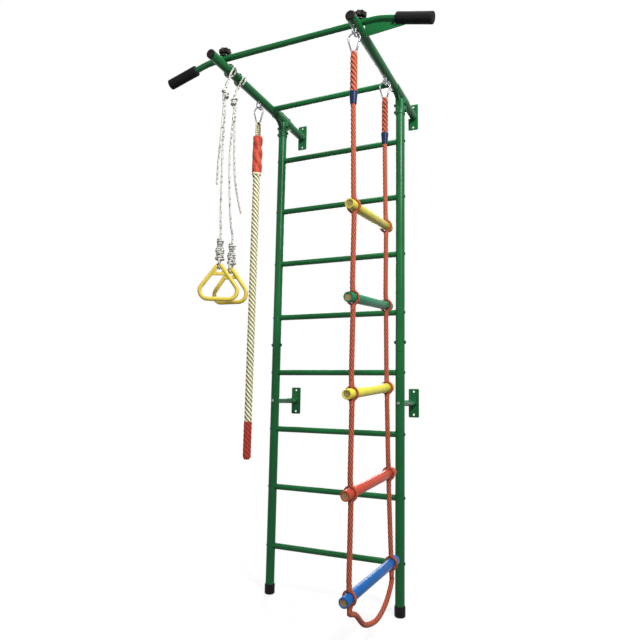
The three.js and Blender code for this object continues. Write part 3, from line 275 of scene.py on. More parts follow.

# Name, slot, colour and the painted shade of its grooves, then fibres around, their slant, fibres along, bump,
# hollows where that painted shade sets in and roughness.
RED_SLEEVE = rope_finish(
    "red_shrink_sleeve", "red_sleeve", (200, 72, 46), (146, 44, 28), 12, 10, 60, 0.25, (0.3, 0.95), 0.5)
RED_TIP = rope_finish(
    "red_end_sleeve", "red_sleeve", (178, 58, 40), (112, 28, 18), 14, 8, 40, 0.3, (0.25, 0.9), 0.5)
CREAM = rope_finish(
    "cream_twisted_yarn", "cream_rope", (252, 248, 214), (122, 117, 76), 60, 260, 25, 0.6, (0.2, 0.48))
ORANGE = rope_finish("orange_yarn", "orange_rope", (197, 94, 64), (92, 32, 17), 36, 700, 60, 0.6, (0.22, 0.66))
WHITE_FLECK = rope_finish(
    "white_flecked_braid", "white_rope", (216, 216, 209), (158, 158, 148), 3, 0, 115, 0.5, flecks=(62, 63, 58))


def mode(kind):
    ops.object.mode_set(mode=kind)


def deselect():
    if bpy.context.object and bpy.context.object.mode != "OBJECT":
        mode("OBJECT")
    ops.object.select_all(action="DESELECT")


def take(piece):
    deselect()
    piece.select_set(True)
    bpy.context.view_layer.objects.active = piece


def edit(piece):
    take(piece)
    mode("EDIT")
    ops.mesh.select_all(action="SELECT")


def settle(piece):
    take(piece)
    ops.object.transform_apply(location=True, rotation=True, scale=True)
    return piece


def merge_and_face_out(piece):
    edit(piece)
    ops.mesh.remove_doubles(threshold=1e-6)
    ops.mesh.normals_make_consistent(inside=False)
    mode("OBJECT")
    return piece


def modified(piece, kind, **settings):
    made = piece.modifiers.new(kind.lower(), kind)
    for key, value in settings.items():
        setattr(made, key, value)
    return made


def applied(piece, kind, **settings):
    take(piece)
    ops.object.modifier_apply(modifier=modified(piece, kind, **settings).name)
    return piece


def finished(piece, body, finish, node="", angle=40):
    """Smooth shading, finish, body and the part's node that the piece stands for."""
    finishes = finish if isinstance(finish, list) else [finish]
    piece.data.materials.clear()
    for one in finishes:
        piece.data.materials.append(one)
    take(piece)
    ops.object.shade_smooth_by_angle(angle=radians(angle))
    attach(piece, body)
    if node:
        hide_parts(node)
    return piece


def drawn(name, points):
    """A line extruded from point to point, left selected in edit mode."""
    deselect()
    ops.mesh.primitive_plane_add(size=0.001, location=(0, 0, 0))
    piece = bpy.context.object
    piece.name = name
    edit(piece)
    ops.mesh.merge(type="CENTER")
    ops.transform.translate(value=points[0])
    for a, b in zip(points, points[1:]):
        ops.mesh.extrude_region_move(TRANSFORM_OT_translate={"value": b - a})
    ops.mesh.select_all(action="SELECT")
    return piece


def stood(place, along):
    """The move that takes a shape from the origin and Z to a place and a direction."""
    return Matrix.Translation(place) @ Vector(along).to_track_quat("Z", "Y").to_matrix().to_4x4()


def turned(name, profile, base=Vector(), along=(0, 0, 1), steps=40):
    """A profile of (radius, distance) points spun about a line from base."""
    piece = drawn(name, [Vector((radius, 0, distance)) * MM for radius, distance in profile])
    ops.mesh.spin(steps=steps, angle=2 * pi, center=(0, 0, 0), axis=(0, 0, 1))
    merge_and_face_out(piece)
    piece.matrix_world = stood(base, along)
    return settle(piece)


def tube(name, start, end, radius, wall=1.6, rim=0.5, steps=40):
    """Hollow round tube with softened rims between two points."""
    run = end - start
    length = run.length * 1000
    inner = radius - wall
    profile = [
        (inner, 0), (radius - rim, 0), (radius, rim), (radius, length - rim),
        (radius - rim, length), (inner, length), (inner, 0),
    ]
    return turned(name, profile, start, run, steps)


def wire(name, points, radius, closed=False, sides=4, radii=None):
    curve = bpy.data.curves.new(name, "CURVE")
    curve.dimensions = "3D"
    curve.bevel_depth = radius * MM
    curve.bevel_resolution = sides
    curve.use_fill_caps = not closed
    spline = curve.splines.new("POLY")
    spline.points.add(len(points) - 1)
    for index, point in enumerate(points):
        spline.points[index].co = (*point, 1)
        spline.points[index].radius = radii[index] if radii else 1
    spline.use_cyclic_u = closed
    take(new_object(name, curve))
    ops.object.convert(target="MESH")
    return merge_and_face_out(bpy.context.object)


def joined(name, pieces):
    deselect()
    for piece in pieces:
        piece.select_set(True)
    bpy.context.view_layer.objects.active = pieces[0]
    if len(pieces) > 1:
        ops.object.join()
    bpy.context.object.name = name
    return bpy.context.object


def fused(piece, voxel, passes):
    """Melts the solids of a piece into one rounded skin."""
    applied(piece, "REMESH", mode="VOXEL", voxel_size=voxel * MM)
    return applied(piece, "SMOOTH", factor=0.5, iterations=passes)


def copied(node, name):
    """A copy of one of the part's own solids, to be worked on."""
    return merge_and_face_out(new_object(name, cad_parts[node].data.copy()))


def repeated(first, name, turn):
    """A copy of a finished shape, moved and turned from the first one's place."""
    twin = new_object(name, first.data.copy())
    twin.matrix_world = turn
    return settle(twin)


def both_sides(left):
    """A left-hand piece and its copy on the right, each with its side's name and sign."""
    across = Matrix.Translation((2 * HALF * MM, 0, 0))
    return ("left", -1, left), ("right", 1, repeated(left, left.name.replace("left", "right"), across))


def finish_pair(left, body, finish, node="", angle=40):
    """Finishes a left-hand piece and its copy on the right; {} stands for the side in the names."""
    for name, _, piece in both_sides(left):
        finished(piece, body.format(name), finish, node.format(name), angle)


def slab(name, outline, thickness, middle, soft=0.6):
    """Flat plate from an outline of (across, up) points, thick along Y, with softened edges."""
    piece = drawn(name, [at(a, middle, u) for a, u in [*outline, outline[0]]])
    ops.mesh.remove_doubles(threshold=1e-6)
    ops.mesh.edge_face_add()
    mode("OBJECT")
    applied(piece, "SOLIDIFY", thickness=thickness * MM, offset=0)
    merge_and_face_out(piece)
    return applied(piece, "BEVEL", width=soft * MM, segments=3, limit_method="ANGLE")


def drilled(piece, place, radius, depth=0.02):
    """A round hole along Y through a piece."""
    deselect()
    ops.mesh.primitive_cylinder_add(vertices=32, radius=radius * MM, depth=depth, location=place,
                                        rotation=(pi / 2, 0, 0))
    drill = settle(bpy.context.object)
    applied(piece, "BOOLEAN", object=drill, operation="DIFFERENCE", solver="EXACT")
    bpy.data.objects.remove(drill)
    return piece


def smooth_path(points, steps):
    """Smooth curve through chosen points, with its bends eased by the distance between them."""
    ends = [points[0] * 2 - points[1], *points, points[-1] * 2 - points[-2]]
    path = []
    for before, a, b, after in zip(ends, ends[1:], ends[2:], ends[3:]):
        lead, run, trail = (max((q - p).length, 1e-6) ** 0.5 for p, q in ((before, a), (a, b), (b, after)))
        leave = ((a - before) / lead - (b - before) / (lead + run) + (b - a) / run) * run
        arrive = ((b - a) / run - (after - a) / (run + trail) + (after - b) / trail) * run
        for k in range(steps):
            t = k / steps
            path.append(
                a * (2 * t ** 3 - 3 * t ** 2 + 1) + leave * (t ** 3 - 2 * t ** 2 + t)
                + b * (3 * t ** 2 - 2 * t ** 3) + arrive * (t ** 3 - t ** 2)
            )
    path.append(points[-1])
    return path


def evenly(path, radii, step):
    """Points a fixed step apart on a path, their distances along it and their radii."""
    line = np.array([tuple(p) for p in path])
    marks = np.concatenate([[0], np.cumsum(np.linalg.norm(np.diff(line, axis=0), axis=1))])
    along = np.linspace(0, marks[-1], max(2, int(round(marks[-1] / step)) + 1))
    spread = np.stack([np.interp(along, marks, line[:, i]) for i in range(3)], axis=1)
    return spread, along, np.interp(along, marks, radii) * MM


def laid_rope(name, path, radius, strands, lay, depth, sides, step=0.003):
    """Rope along a path: round strands twisted about it, unwrapped along its length."""
    radii = radius if isinstance(radius, list) else [radius] * len(path)
    line, along, sizes = evenly(path, radii, step)
    ahead = np.gradient(line, axis=0)
    ahead /= np.linalg.norm(ahead, axis=1)[:, None]
    side = np.cross(ahead[0], (0.0, 0.0, 1.0) if abs(ahead[0][2]) < 0.9 else (0.0, 1.0, 0.0))
    angles = np.arange(sides) * 2 * pi / sides
    places, grooves = [], []
    for i, point in enumerate(line):
        side = side - ahead[i] * side.dot(ahead[i])
        side /= np.linalg.norm(side)
        other = np.cross(ahead[i], side)
        lobe = np.abs(np.cos(strands * (angles - 2 * pi * along[i] / lay) / 2))
        reach = sizes[i] * (1 - depth * (1 - lobe))
        spokes = np.cos(angles)[:, None] * side + np.sin(angles)[:, None] * other
        places.append(point + reach[:, None] * spokes)
        grooves.append(1 - lobe)
    ring = np.arange(sides)
    after = (ring + 1) % sides
    rows = np.arange(len(line) - 1)[:, None] * sides
    quads = np.stack([rows + ring, rows + after, rows + sides + after, rows + sides + ring], axis=2)
    ends = [ring[::-1].tolist(), ((len(line) - 1) * sides + ring).tolist()]
    mesh = bpy.data.meshes.new(name)
    mesh.from_pydata(np.concatenate(places).tolist(), [], quads.reshape(-1, 4).tolist() + ends)
    grid = np.empty((len(line), sides + 1, 2), np.float32)
    grid[:, :, 0] = np.arange(sides + 1) / sides - (along / lay)[:, None]
    grid[:, :, 1] = along[:, None]
    spots = np.stack([grid[:-1, :-1], grid[:-1, 1:], grid[1:, 1:], grid[1:, :-1]], axis=2)
    end_spots = np.stack([np.tile(ring / sides, 2), np.zeros(2 * sides)], axis=1)
    layer = mesh.uv_layers.new(name="unwrapped")
    layer.data.foreach_set("uv", np.concatenate([spots.ravel(), end_spots.ravel()]).astype(np.float32))
    # Depth in the grooves between strands, which the rope materials use to paint shade there.
    groove = mesh.attributes.new("groove", "FLOAT", "POINT")
    groove.data.foreach_set("value", np.concatenate(grooves).astype(np.float32))
    return merge_and_face_out(new_object(name, mesh))


def tangent_angle(a, b):
    """Where a belt leaves circle a for circle b."""
    run = atan2(b[1] - a[1], b[0] - a[0])
    return run - pi / 2 + asin((a[2] - b[2]) / hypot(b[0] - a[0], b[1] - a[1]))


def belt_arcs(circles, steps):
    """Arcs of a belt pulled tight round circles (x, y, radius) that are listed anticlockwise."""
    arcs = []
    for i, (x, y, radius) in enumerate(circles):
        start = tangent_angle(circles[i - 1], circles[i])
        stop = tangent_angle(circles[i], circles[(i + 1) % len(circles)])
        span = (stop - start) % (2 * pi)
        arcs.append([
            (x + radius * cos(start + span * k / steps), y + radius * sin(start + span * k / steps))
            for k in range(steps + 1)
        ])
    return arcs


ROPE_TOP, ROPE_SEAM, ROPE_FOOT = 1807.1, 737, 700
ROPE_RADIUS, ROPE_LOW_RADIUS = 16, 14
ROPE_EVEN_TOP, ROPE_EVEN_RUNS = 1740, 24
ROPE_LAY = -0.094
ROPE_SIDES = 60
# The rope swells into the top sleeve: (distance under it, radius).
ROPE_SWELL = [(0, 19.5), (8, 19.2), (13, 17.6), (20, 16.2), (32, 15.6), (52, 16)]
SLEEVE_TOP, SLEEVE_LENGTH = 1975.5, 168
# The lumps of the top sleeve: (share of its length, radius).
SLEEVE_LUMPS = [
    (0, 19.5), (0.025, 21.6), (0.16, 22.2), (0.27, 19.2), (0.38, 21.6), (0.5, 22.4), (0.64, 21), (0.8, 22.2),
    (0.96, 21.6), (1, 20.6),
]
LIP_Z = 1799.4
LIP = [(15, 0), (19.2, 0), (20.4, 1.4), (20.7, 6.6), (20, 8.6), (15, 8.6), (15, 0)]
TIP_LENGTH, TIP_RADIUS, TIP_ROUNDING = 152, 17, 8


def climbing_rope():
    x, y = -HALF, ROPE_Y
    even_run = ROPE_SEAM + 4 - ROPE_EVEN_TOP
    heights = [ROPE_TOP - drop for drop, _ in ROPE_SWELL]
    heights += [ROPE_EVEN_TOP + even_run * k / ROPE_EVEN_RUNS for k in range(ROPE_EVEN_RUNS + 1)]
    heights += [ROPE_SEAM - 2, ROPE_FOOT]
    radii = [radius for _, radius in ROPE_SWELL]
    radii += [ROPE_RADIUS] * (ROPE_EVEN_RUNS + 1) + [ROPE_LOW_RADIUS] * 2
    path = [at(x, y, z) for z in heights]
    rope = laid_rope(
        "climbing_rope_lay", path, radii, strands=5, lay=ROPE_LAY, depth=0.24, sides=ROPE_SIDES, step=0.004)
    finished(rope, "climbing_rope", CREAM, "climbing_rope", 60)

    shares = [k / 42 for k in range(43)]
    lumps = [float(np.interp(s, *zip(*SLEEVE_LUMPS))) for s in shares]
    sleeve_path = [at(x, y, SLEEVE_TOP - SLEEVE_LENGTH * s) for s in shares]
    sleeve = laid_rope(
        "rope_sleeve_top_shrunk", sleeve_path, lumps, strands=3, lay=-0.19, depth=0.13, sides=ROPE_SIDES)
    crumple = bpy.data.textures.new("sleeve_crumple", "CLOUDS")
    crumple.noise_scale = 0.03
    applied(sleeve, "DISPLACE", texture=crumple, texture_coords="GLOBAL", strength=0.005, mid_level=0.5)
    finished(sleeve, "climbing_rope", RED_SLEEVE, "rope_sleeve_top", 60)
    lip = turned("rope_sleeve_lip", LIP, at(x, y, LIP_Z), steps=ROPE_SIDES)
    finished(lip, "climbing_rope", PALE_LIP)

    shares = [k / 38 for k in range(39)]
    tip_path = [at(x, y, ROPE_SEAM - TIP_LENGTH * s) for s in shares]
    ending = [max(0.45, (1 - s) * TIP_LENGTH / TIP_ROUNDING) for s in shares]
    narrowing = [TIP_RADIUS * min(1.0, sqrt(e)) for e in ending]
    tip = laid_rope(
        "rope_sleeve_bottom_shrunk", tip_path, narrowing, strands=5, lay=ROPE_LAY, depth=0.1, sides=ROPE_SIDES)
    finished(tip, "climbing_rope", RED_TIP, "rope_sleeve_bottom", 60)


LADDER_SPACING = LADDER_REAR_Y - LADDER_FRONT_Y
LADDER_MIDDLE = (LADDER_REAR_Y + LADDER_FRONT_Y) / 2
LADDER_RUNGS = 5
LADDER_HEIGHTS = (1497, 243)
LADDER_RISE = 26
LADDER_TWIST = radians(4.3)
LADDER_ROPE_RADIUS = 9
LADDER_STRAND_RADIUS = 4.4
LADDER_LAY = {"strands": 6, "lay": -0.098, "depth": 0.2, "sides": 30}
LADDER_CLEAR = 48
# Where the rope's halves meet above and below a rung: (height, radius).
LADDER_THROAT = [(40, 8.6), (34, 8.8), (28, 8.8), (24, 8.6), (20.6, 7.6)]
# The loop under the bottom rung: (share of the half spacing, share of its depth).
LADDER_LOOP = [(-0.76, 0.46), (-0.4, 0.84), (0, 0.99), (0.28, 1), (0.66, 0.84), (0.94, 0.55), (1.02, 0.38)]
LADDER_LOOP_DEPTH = 142
SPLICE_LENGTH, SPLICE_RADIUS = 150, 13
TAPE_LENGTH, TAPE_DROP = 44, 186


def ladder_frame(index):
    """Place and turn of a rung; the ladder twists a little towards its lower end."""
    share = index / (LADDER_RUNGS - 1)
    twist = LADDER_TWIST * share ** 2
    slope = atan2(LADDER_RISE, LADDER_SPACING)
    turn = Matrix.Rotation(-twist, 4, "Z") @ Matrix.Rotation(slope, 4, "X")
    across = HALF + 6 + LADDER_SPACING / 2 * sin(twist)
    top, bottom = LADDER_HEIGHTS
    return Matrix.Translation(Vector((across, LADDER_MIDDLE, top + (bottom - top) * share))) @ turn


def ladder_place(index, end, across, up):
    return at(*(ladder_frame(index) @ Vector((across, end * LADDER_SPACING / 2, up))))


def ladder_strand(index, end, side):
    """One half of the opened rope, from above a rung to below it."""
    merged, lead, reach = 2, 24, 21.4
    contact = atan2(lead, merged) - acos(reach / hypot(merged, lead))
    angles = [contact * (1 - k / 6) for k in range(13)]
    places = [(merged, lead), *[(reach * cos(a), reach * sin(a)) for a in angles], (merged, -lead)]
    return [ladder_place(index, end, side * a, u) for a, u in places]


def ladder_side(y, end):
    """Points and radii of the rope from a hook down past the five rungs."""
    path = [at(HALF, y, HOOK_FOOT - drop) for drop in (-8, 20, 80, 142, TAPE_DROP)]
    radii = [LADDER_ROPE_RADIUS] * len(path)
    for index in range(LADDER_RUNGS):
        half = ladder_strand(index, end, 1)
        path += [ladder_place(index, end, 0, LADDER_CLEAR), *half, ladder_place(index, end, 0, -LADDER_CLEAR)]
        radii += [LADDER_ROPE_RADIUS, 8.4, *[LADDER_STRAND_RADIUS] * (len(half) - 2), 8.4, LADDER_ROPE_RADIUS]
    return path, radii


def ladder_rope():
    front, front_radii = ladder_side(LADDER_FRONT_Y, -1)
    rear, rear_radii = ladder_side(LADDER_REAR_Y, 1)
    places = [ladder_place(LADDER_RUNGS - 1, out, 0, -down * LADDER_LOOP_DEPTH) for out, down in LADDER_LOOP]
    loop = smooth_path([front[-1], *places, rear[-1]], 5)[1:-1]
    path = front + loop + rear[::-1]
    radii = front_radii + [LADDER_ROPE_RADIUS] * len(loop) + rear_radii[::-1]
    rope = laid_rope("ladder_rope_lay", path, radii, **LADDER_LAY)
    finished(rope, "ladder", ORANGE, "ladder_rope", 60)

    halves, throats = [], []
    throat_radii = [radius for _, radius in LADDER_THROAT]
    for index in range(LADDER_RUNGS):
        for end in (-1, 1):
            halves.append(laid_rope("half", ladder_strand(index, end, -1), LADDER_STRAND_RADIUS, strands=3,
                                    lay=-0.06, depth=0.24, sides=18))
            for side in (-1, 1):
                run = [ladder_place(index, end, 0, side * up) for up, _ in LADDER_THROAT]
                throats.append(laid_rope("throat", run, throat_radii, **LADDER_LAY))
    others = finished(joined("ladder_rope_second_halves", halves), "ladder", ORANGE, angle=60)
    throats = finished(joined("ladder_rope_throats", throats), "ladder", ORANGE, angle=60)

    to_rear = Matrix.Translation((0, LADDER_SPACING * MM, 0))
    splice_path = [at(HALF, LADDER_FRONT_Y, HOOK_FOOT + 8 - SPLICE_LENGTH * k / 25) for k in range(26)]
    swell = [SPLICE_RADIUS * min(1.0, 0.75 + k * 0.1) for k in range(26)]
    first = laid_rope("ladder_splice_front", splice_path, swell, strands=4, lay=-0.075, depth=0.26, sides=40)
    splices = [first, repeated(first, "ladder_splice_rear", to_rear)]
    for splice in splices:
        finished(splice, "ladder", ORANGE, angle=60)
    layers = [(11.2 + 3.7 * k / 17 + 0.3 * sin(k * 2.1), TAPE_LENGTH * k / 17) for k in range(18)]
    profile = [(9.6, 0), (11.0, 0), *layers, (13.6, TAPE_LENGTH), (9.6, 0)]
    binding = turned("ladder_tape_wound_front", profile, at(HALF, LADDER_FRONT_Y, HOOK_FOOT - TAPE_DROP))
    for name, tape in (("front", binding), ("rear", repeated(binding, "ladder_tape_wound_rear", to_rear))):
        finished(tape, "ladder", TAPE, "ladder_tape_" + name, 30)


RING_APEX = 1343.5
# Places of the two rings and the points of their ropes that were chosen from the photograph: (reach, height).
RING_SETS = (
    {
        "name": "front", "reach": 476, "turns_reach": 458, "yaw": 28,
        "bow": [(484, 1990), (487, 1770), (479, 1500)],
        "tail": [(516, 1657), (513, 1740), (505, 1840), (497, 1930), (493, 1995)],
    },
    {
        "name": "rear", "reach": 394, "turns_reach": 384, "yaw": 5,
        "bow": [(421, 1990), (436, 1790), (408, 1520)],
        "tail": [(337, 1591), (362, 1640), (392, 1720), (405, 1830), (410, 1995)],
    },
)
KNOT_PITCH = 9.2
UPPER_KNOT_FOOT = ARM_Z - 127
UPPER_KNOT_TURNS, UPPER_KNOT_RADIUS = 3, 9.5
LOWER_KNOT_FOOT = RING_APEX + 20
LOWER_KNOT_TURNS, LOWER_KNOT_RADII = 9, (15, 8.5)
ARM_TURN_RADIUS, ARM_TURN_PITCH, ARM_TURN_SPAN = 24, 20, 630
RING_LOOP_RADIUS = 14
RING_LOOP_ANGLES = (170, 205, 240, 270, 300, 335, 370)


def knot(x, y, foot, turns, start, wide, narrow, waves):
    """Points of uneven turns that wind upwards round a line."""
    places = []
    for k in range(turns * 8 + 1):
        angle = start + 2 * pi * k / 8
        share = k / (turns * 8)
        uneven = 2.2 * cos(waves * pi * share) + sin(k * 1.7)
        spread = wide + (narrow - wide) * share + uneven
        rise = foot + KNOT_PITCH * k / 8 + 1.4 * sin(k * 0.9)
        places.append(Vector((x + spread * cos(angle), y + spread * sin(angle), rise)))
    return places


def arm_turns(x, reach):
    """Points of the turns round the left arm."""
    places = []
    for k in range(19):
        share = k / 18
        angle = radians(225 - ARM_TURN_SPAN * share)
        y = -reach + ARM_TURN_PITCH * ARM_TURN_SPAN * (0.5 - share) / 360
        rise = ARM_Z + ARM_TURN_RADIUS * sin(angle)
        places.append(Vector((x + ARM_TURN_RADIUS * cos(angle), y, rise)))
    return places


def ring_rope(name, reach, turns_reach, yaw, bow, tail):
    """Free tail, upper knot, turns round the arm, strand, loop through the ring, lower knot."""
    x = -HALF
    knot_reach = bow[0][0]
    foot, top = UPPER_KNOT_FOOT, UPPER_KNOT_FOOT + KNOT_PITCH * UPPER_KNOT_TURNS
    radius = UPPER_KNOT_RADIUS
    turns = arm_turns(x, turns_reach)
    first, last = turns[0], turns[-1]
    facing = Vector((sin(radians(yaw)), -cos(radians(yaw)), 0))

    def ring_place(out, up):
        return Vector((x, -reach, RING_APEX + up)) + facing * out

    tail_side = 1 if knot_reach > tail[-1][0] else -1
    points = [Vector((x, -out, up)) for out, up in tail]
    points += knot(x, -knot_reach, foot, UPPER_KNOT_TURNS, tail_side * pi / 2, radius, radius, 2)
    points.append(Vector((x - radius - 4, (first.y - knot_reach) / 2, (top + first.z) / 2 + 6)))
    points += turns
    points.append(Vector((x + 9, (last.y - knot_reach) / 2, (top + last.z) / 2 + 8)))
    points += [Vector((x, -knot_reach, z)) for z in (top + 12, top, (top + foot) / 2, foot - 6)]
    points += [Vector((x, -out, up)) for out, up in bow]
    points += [ring_place(0, 142), ring_place(0, 108), ring_place(0, 34), ring_place(-5, 22)]
    for angle in map(radians, RING_LOOP_ANGLES):
        points.append(ring_place(RING_LOOP_RADIUS * cos(angle), RING_LOOP_RADIUS * sin(angle)))
    start = atan2(facing.y, facing.x)
    points += knot(x, -reach, LOWER_KNOT_FOOT, LOWER_KNOT_TURNS, start, *LOWER_KNOT_RADII, 4.4)
    path = smooth_path([at(*p) for p in points], 4)[::-1]
    rope = laid_rope(
        "ring_rope_braid_" + name, path, 4.1, strands=10, lay=0.09, depth=0.06, sides=20, step=0.0025)
    finished(rope, "ring_rope_" + name, WHITE_FLECK, "ring_rope_" + name, 60)


climbing_rope()
ladder_rope()
for ring_set in RING_SETS:
    ring_rope(**ring_set)


FOOT_CAP = [
    (0, 0), (15.5, 0), (17.6, 0.4), (21.2, 3.6), (21.9, 5), (21.9, 38), (21.5, 40.6), (20.6, 42), (19.5, 42),
    (19.4, 40.5), (19.4, 6), (0, 6),
]
ARM_CAP = [
    (0, -6.4), (9, -6.5), (11.4, -6.9), (13.9, -7), (16.2, -6.2), (17.6, -4.8), (18.3, -3.2), (18.5, -1.6),
    (18.4, -0.3), (17.9, 0), (16.1, 0), (16.1, 21.2), (15.3, 22), (0, 22),
]
HOLE_RIM = [(4.7, -0.2), (9.5, -0.2), (9.2, 0.7), (8.2, 1.3), (6.2, 1.3), (5.0, 0.8), (4.7, -0.2)]
GRIP = [
    (12.9, 0), (18.2, 0), (20.0, 0.7), (20.9, 2.4), (21, 5), (20.7, 40), (20.8, 96), (21, 130), (20.9, 133),
    (20.0, 135.2), (18.4, 136), (6, 136.2), (0, 136.2), (0, 131), (12.9, 131), (12.9, 0),
]
WASHER = [(6, 0.3), (13.4, 0.3), (13.8, 0.8), (13.8, 1.7), (13.4, 2.2), (6, 2.2), (6, 0.3)]


def button_head(radius=6.0, height=3.4):
    """Domed screw head with a round socket, along Z at the origin."""
    outside = [(0, -1), (radius, -1), (radius, 0.6)]
    shares = [(0.93, 0.5), (0.7, 0.88), (0.5, 1), (0.45, 0.9), (0.42, 0.25), (0, 0.25)]
    socket = [(radius * out, height * up) for out, up in shares]
    return turned("head", outside + socket, steps=24)


def joint_bead(side, y, z, post_radius, radius, swell):
    """Thin bead where a rung's round end meets a round post that stands along Z or lies along Y."""
    points, radii = [], []
    for k in range(40):
        angle = 2 * pi * k / 40
        off_y, off_z = radius * cos(angle), radius * sin(angle)
        lean = off_y if post_radius == UPRIGHT_RADIUS else off_z
        reach = sqrt(post_radius ** 2 - lean ** 2)
        points.append(at(side * (HALF - reach), y + off_y, z + off_z))
        radii.append(1 + swell * (random.random() - 0.5))
    return wire("bead", points, 1.0, closed=True, sides=3, radii=radii)


def uprights():
    x = -HALF
    foot, seam, top = (at(x, 0, z) for z in (UPRIGHT_FOOT, SEAM, UPRIGHT_TOP))
    lower = tube("upright_left_lower_tube", foot, seam, UPRIGHT_RADIUS, steps=THICK_STEPS)
    start = at(x, 0, SEAM + 0.4)
    upper = tube("upright_left_upper_tube", start, top, UPRIGHT_RADIUS, rim=0.8, steps=THICK_STEPS)
    cap = turned("foot_cap_left_moulded", FOOT_CAP, at(x, 0, 0), steps=THICK_STEPS)
    finish_pair(lower, "frame", ENAMEL, "upright_{}_lower")
    finish_pair(upper, "frame", ENAMEL, "upright_{}_upper")
    finish_pair(cap, "frame", BLACK, "foot_cap_{}", 30)

    head = button_head()
    beads, screws = [], []
    for _, side in SIDES:
        for z in RUNG_HEIGHTS:
            beads.append(joint_bead(side, 0, z, UPRIGHT_RADIUS, 12.9, 0.3))
            place = at(side * (HALF + UPRIGHT_RADIUS - 0.2), 0, z)
            screws.append(repeated(head, "screw_copy", stood(place, (side, 0, 0))))
    bpy.data.objects.remove(head)
    finished(joined("rung_joint_beads", beads), "frame", ENAMEL, angle=60)
    finished(joined("rung_screws", screws), "frame", ENAMEL_BOLT, angle=30)

    lowest = RUNG_HEIGHTS[0]
    first = tube("rung_1_tube", at(-RUNG_END, 0, lowest), at(RUNG_END, 0, lowest), SLIM_RADIUS)
    for index, z in enumerate(RUNG_HEIGHTS, 1):
        lift = Matrix.Translation((0, 0, (z - lowest) * MM))
        rung = first if index == 1 else repeated(first, f"rung_{index}_tube", lift)
        finished(rung, "frame", ENAMEL, f"rung_{index}")


def wall_plate():
    """Plate with rounded corners and pressed rims round its two screw holes, at the wall below the origin."""
    deselect()
    middle = WALL - PLATE_THICKNESS / 2
    ops.mesh.primitive_cube_add(size=1, location=at(0, middle, 0))
    plate = bpy.context.object
    plate.scale = (0.046, PLATE_THICKNESS * MM, 0.125)
    settle(plate)
    edit(plate)
    ops.mesh.select_mode(type="EDGE")
    ops.mesh.select_all(action="DESELECT")
    mode("OBJECT")
    for edge in plate.data.edges:
        a, b = (plate.data.vertices[i].co for i in edge.vertices)
        edge.select = abs(a.y - b.y) > 0.003
    mode("EDIT")
    ops.mesh.bevel(offset=0.005, segments=5, affect="EDGES")
    ops.mesh.select_mode(type="VERT")
    mode("OBJECT")
    for rise in PLATE_HOLES:
        drilled(plate, at(0, middle, rise), 4.5)
    applied(plate, "BEVEL", width=0.0006, segments=2, limit_method="ANGLE")
    front = WALL - PLATE_THICKNESS
    rims = [turned("rim", HOLE_RIM, at(0, front, rise), (0, -1, 0), 32) for rise in PLATE_HOLES]
    return joined("plate", [plate, *rims])


def weld(place, direction, radius, bead=2.0):
    """Ring of weld round a tube's end."""
    turn = Vector(direction).to_track_quat("Z", "Y")
    points, radii = [], []
    for k in range(48):
        angle = 2 * pi * k / 48
        spread = radius + 0.4 * sin(k * 2.6)
        points.append(place + turn @ Vector((cos(angle) * spread, sin(angle) * spread, 0)) * MM)
        radii.append(1 + 0.25 * (random.random() - 0.5))
    return wire("weld", points, bead, closed=True, sides=3, radii=radii)


def mounted(plate, side, z, radius):
    """A copy of the wall plate and the weld round the tube that ends on it."""
    move = Matrix.Translation((side * HALF * MM, 0, z * MM))
    return [repeated(plate, "plate_copy", move), weld(at(side * HALF, WALL - 5, z), (0, 1, 0), radius)]


def hanger_loop(x, y):
    rise = ARM_Z - ARM_RADIUS + 1
    half = [(11, rise), (14.5, rise - 12), (18.2, HANGER_Z + 8), (17.2, HANGER_Z + 2.6), (13, HANGER_Z)]
    corners = [(-a, z) for a, z in half] + [(0, HANGER_Z)] + half[::-1]
    loop = wire("hanger", smooth_path([at(x, y + a, z) for a, z in corners], 5), 3)
    feet = [weld(at(x, y + a, rise - 1), (0, 0, 1), 3.4, 1.3) for a in (-11, 11)]
    return joined("hanger", [loop, *feet])


def arms(plate):
    x = -HALF
    wall_end = at(x, WALL - PLATE_THICKNESS, ARM_Z)
    pipe = tube("arm_left_tube", at(x, ARM_FRONT, ARM_Z), wall_end, ARM_RADIUS, wall=2, steps=THICK_STEPS)
    finish_pair(pipe, "frame", ENAMEL, "arm_{}")
    cap = turned("arm_cap_left_domed", ARM_CAP, at(x, ARM_FRONT - 0.4, ARM_Z), (0, 1, 0), THICK_STEPS)
    finish_pair(cap, "frame", BLACK, "arm_cap_{}")
    for name, side in SIDES:
        mount = joined(f"arm_{name}_wall_plate", mounted(plate, side, ARM_Z, ARM_RADIUS + 0.6))
        finished(mount, "frame", ENAMEL, angle=35)
    hooked = ((-HALF, ROPE_Y), (HALF, LADDER_FRONT_Y), (HALF, LADDER_REAR_Y))
    hangers = [hanger_loop(*place) for place in hooked]
    finished(joined("hanger_loops", hangers), "frame", STEEL, angle=60)
    start, end = at(-CROSSBAR_END, CROSSBAR_Y, ARM_Z), at(CROSSBAR_END, CROSSBAR_Y, ARM_Z)
    finished(tube("top_crossbar_tube", start, end, SLIM_RADIUS), "frame", ENAMEL, "top_crossbar")
    beads = [joint_bead(side, CROSSBAR_Y, ARM_Z, ARM_RADIUS, 13.2, 0.5) for _, side in SIDES]
    finished(joined("crossbar_welds", beads), "frame", ENAMEL, angle=60)


def wall_brackets(plate):
    start, end = at(-HALF, 15, BRACKET_Z), at(-HALF, WALL - 3, BRACKET_Z)
    for name, side, strut in both_sides(tube("wall_bracket_left_strut", start, end, SLIM_RADIUS, wall=2)):
        pieces = [strut, *mounted(plate, side, BRACKET_Z, SLIM_RADIUS + 0.5)]
        bracket = joined(f"wall_bracket_{name}_welded", pieces)
        finished(bracket, "frame", ENAMEL, f"wall_bracket_{name}", 35)


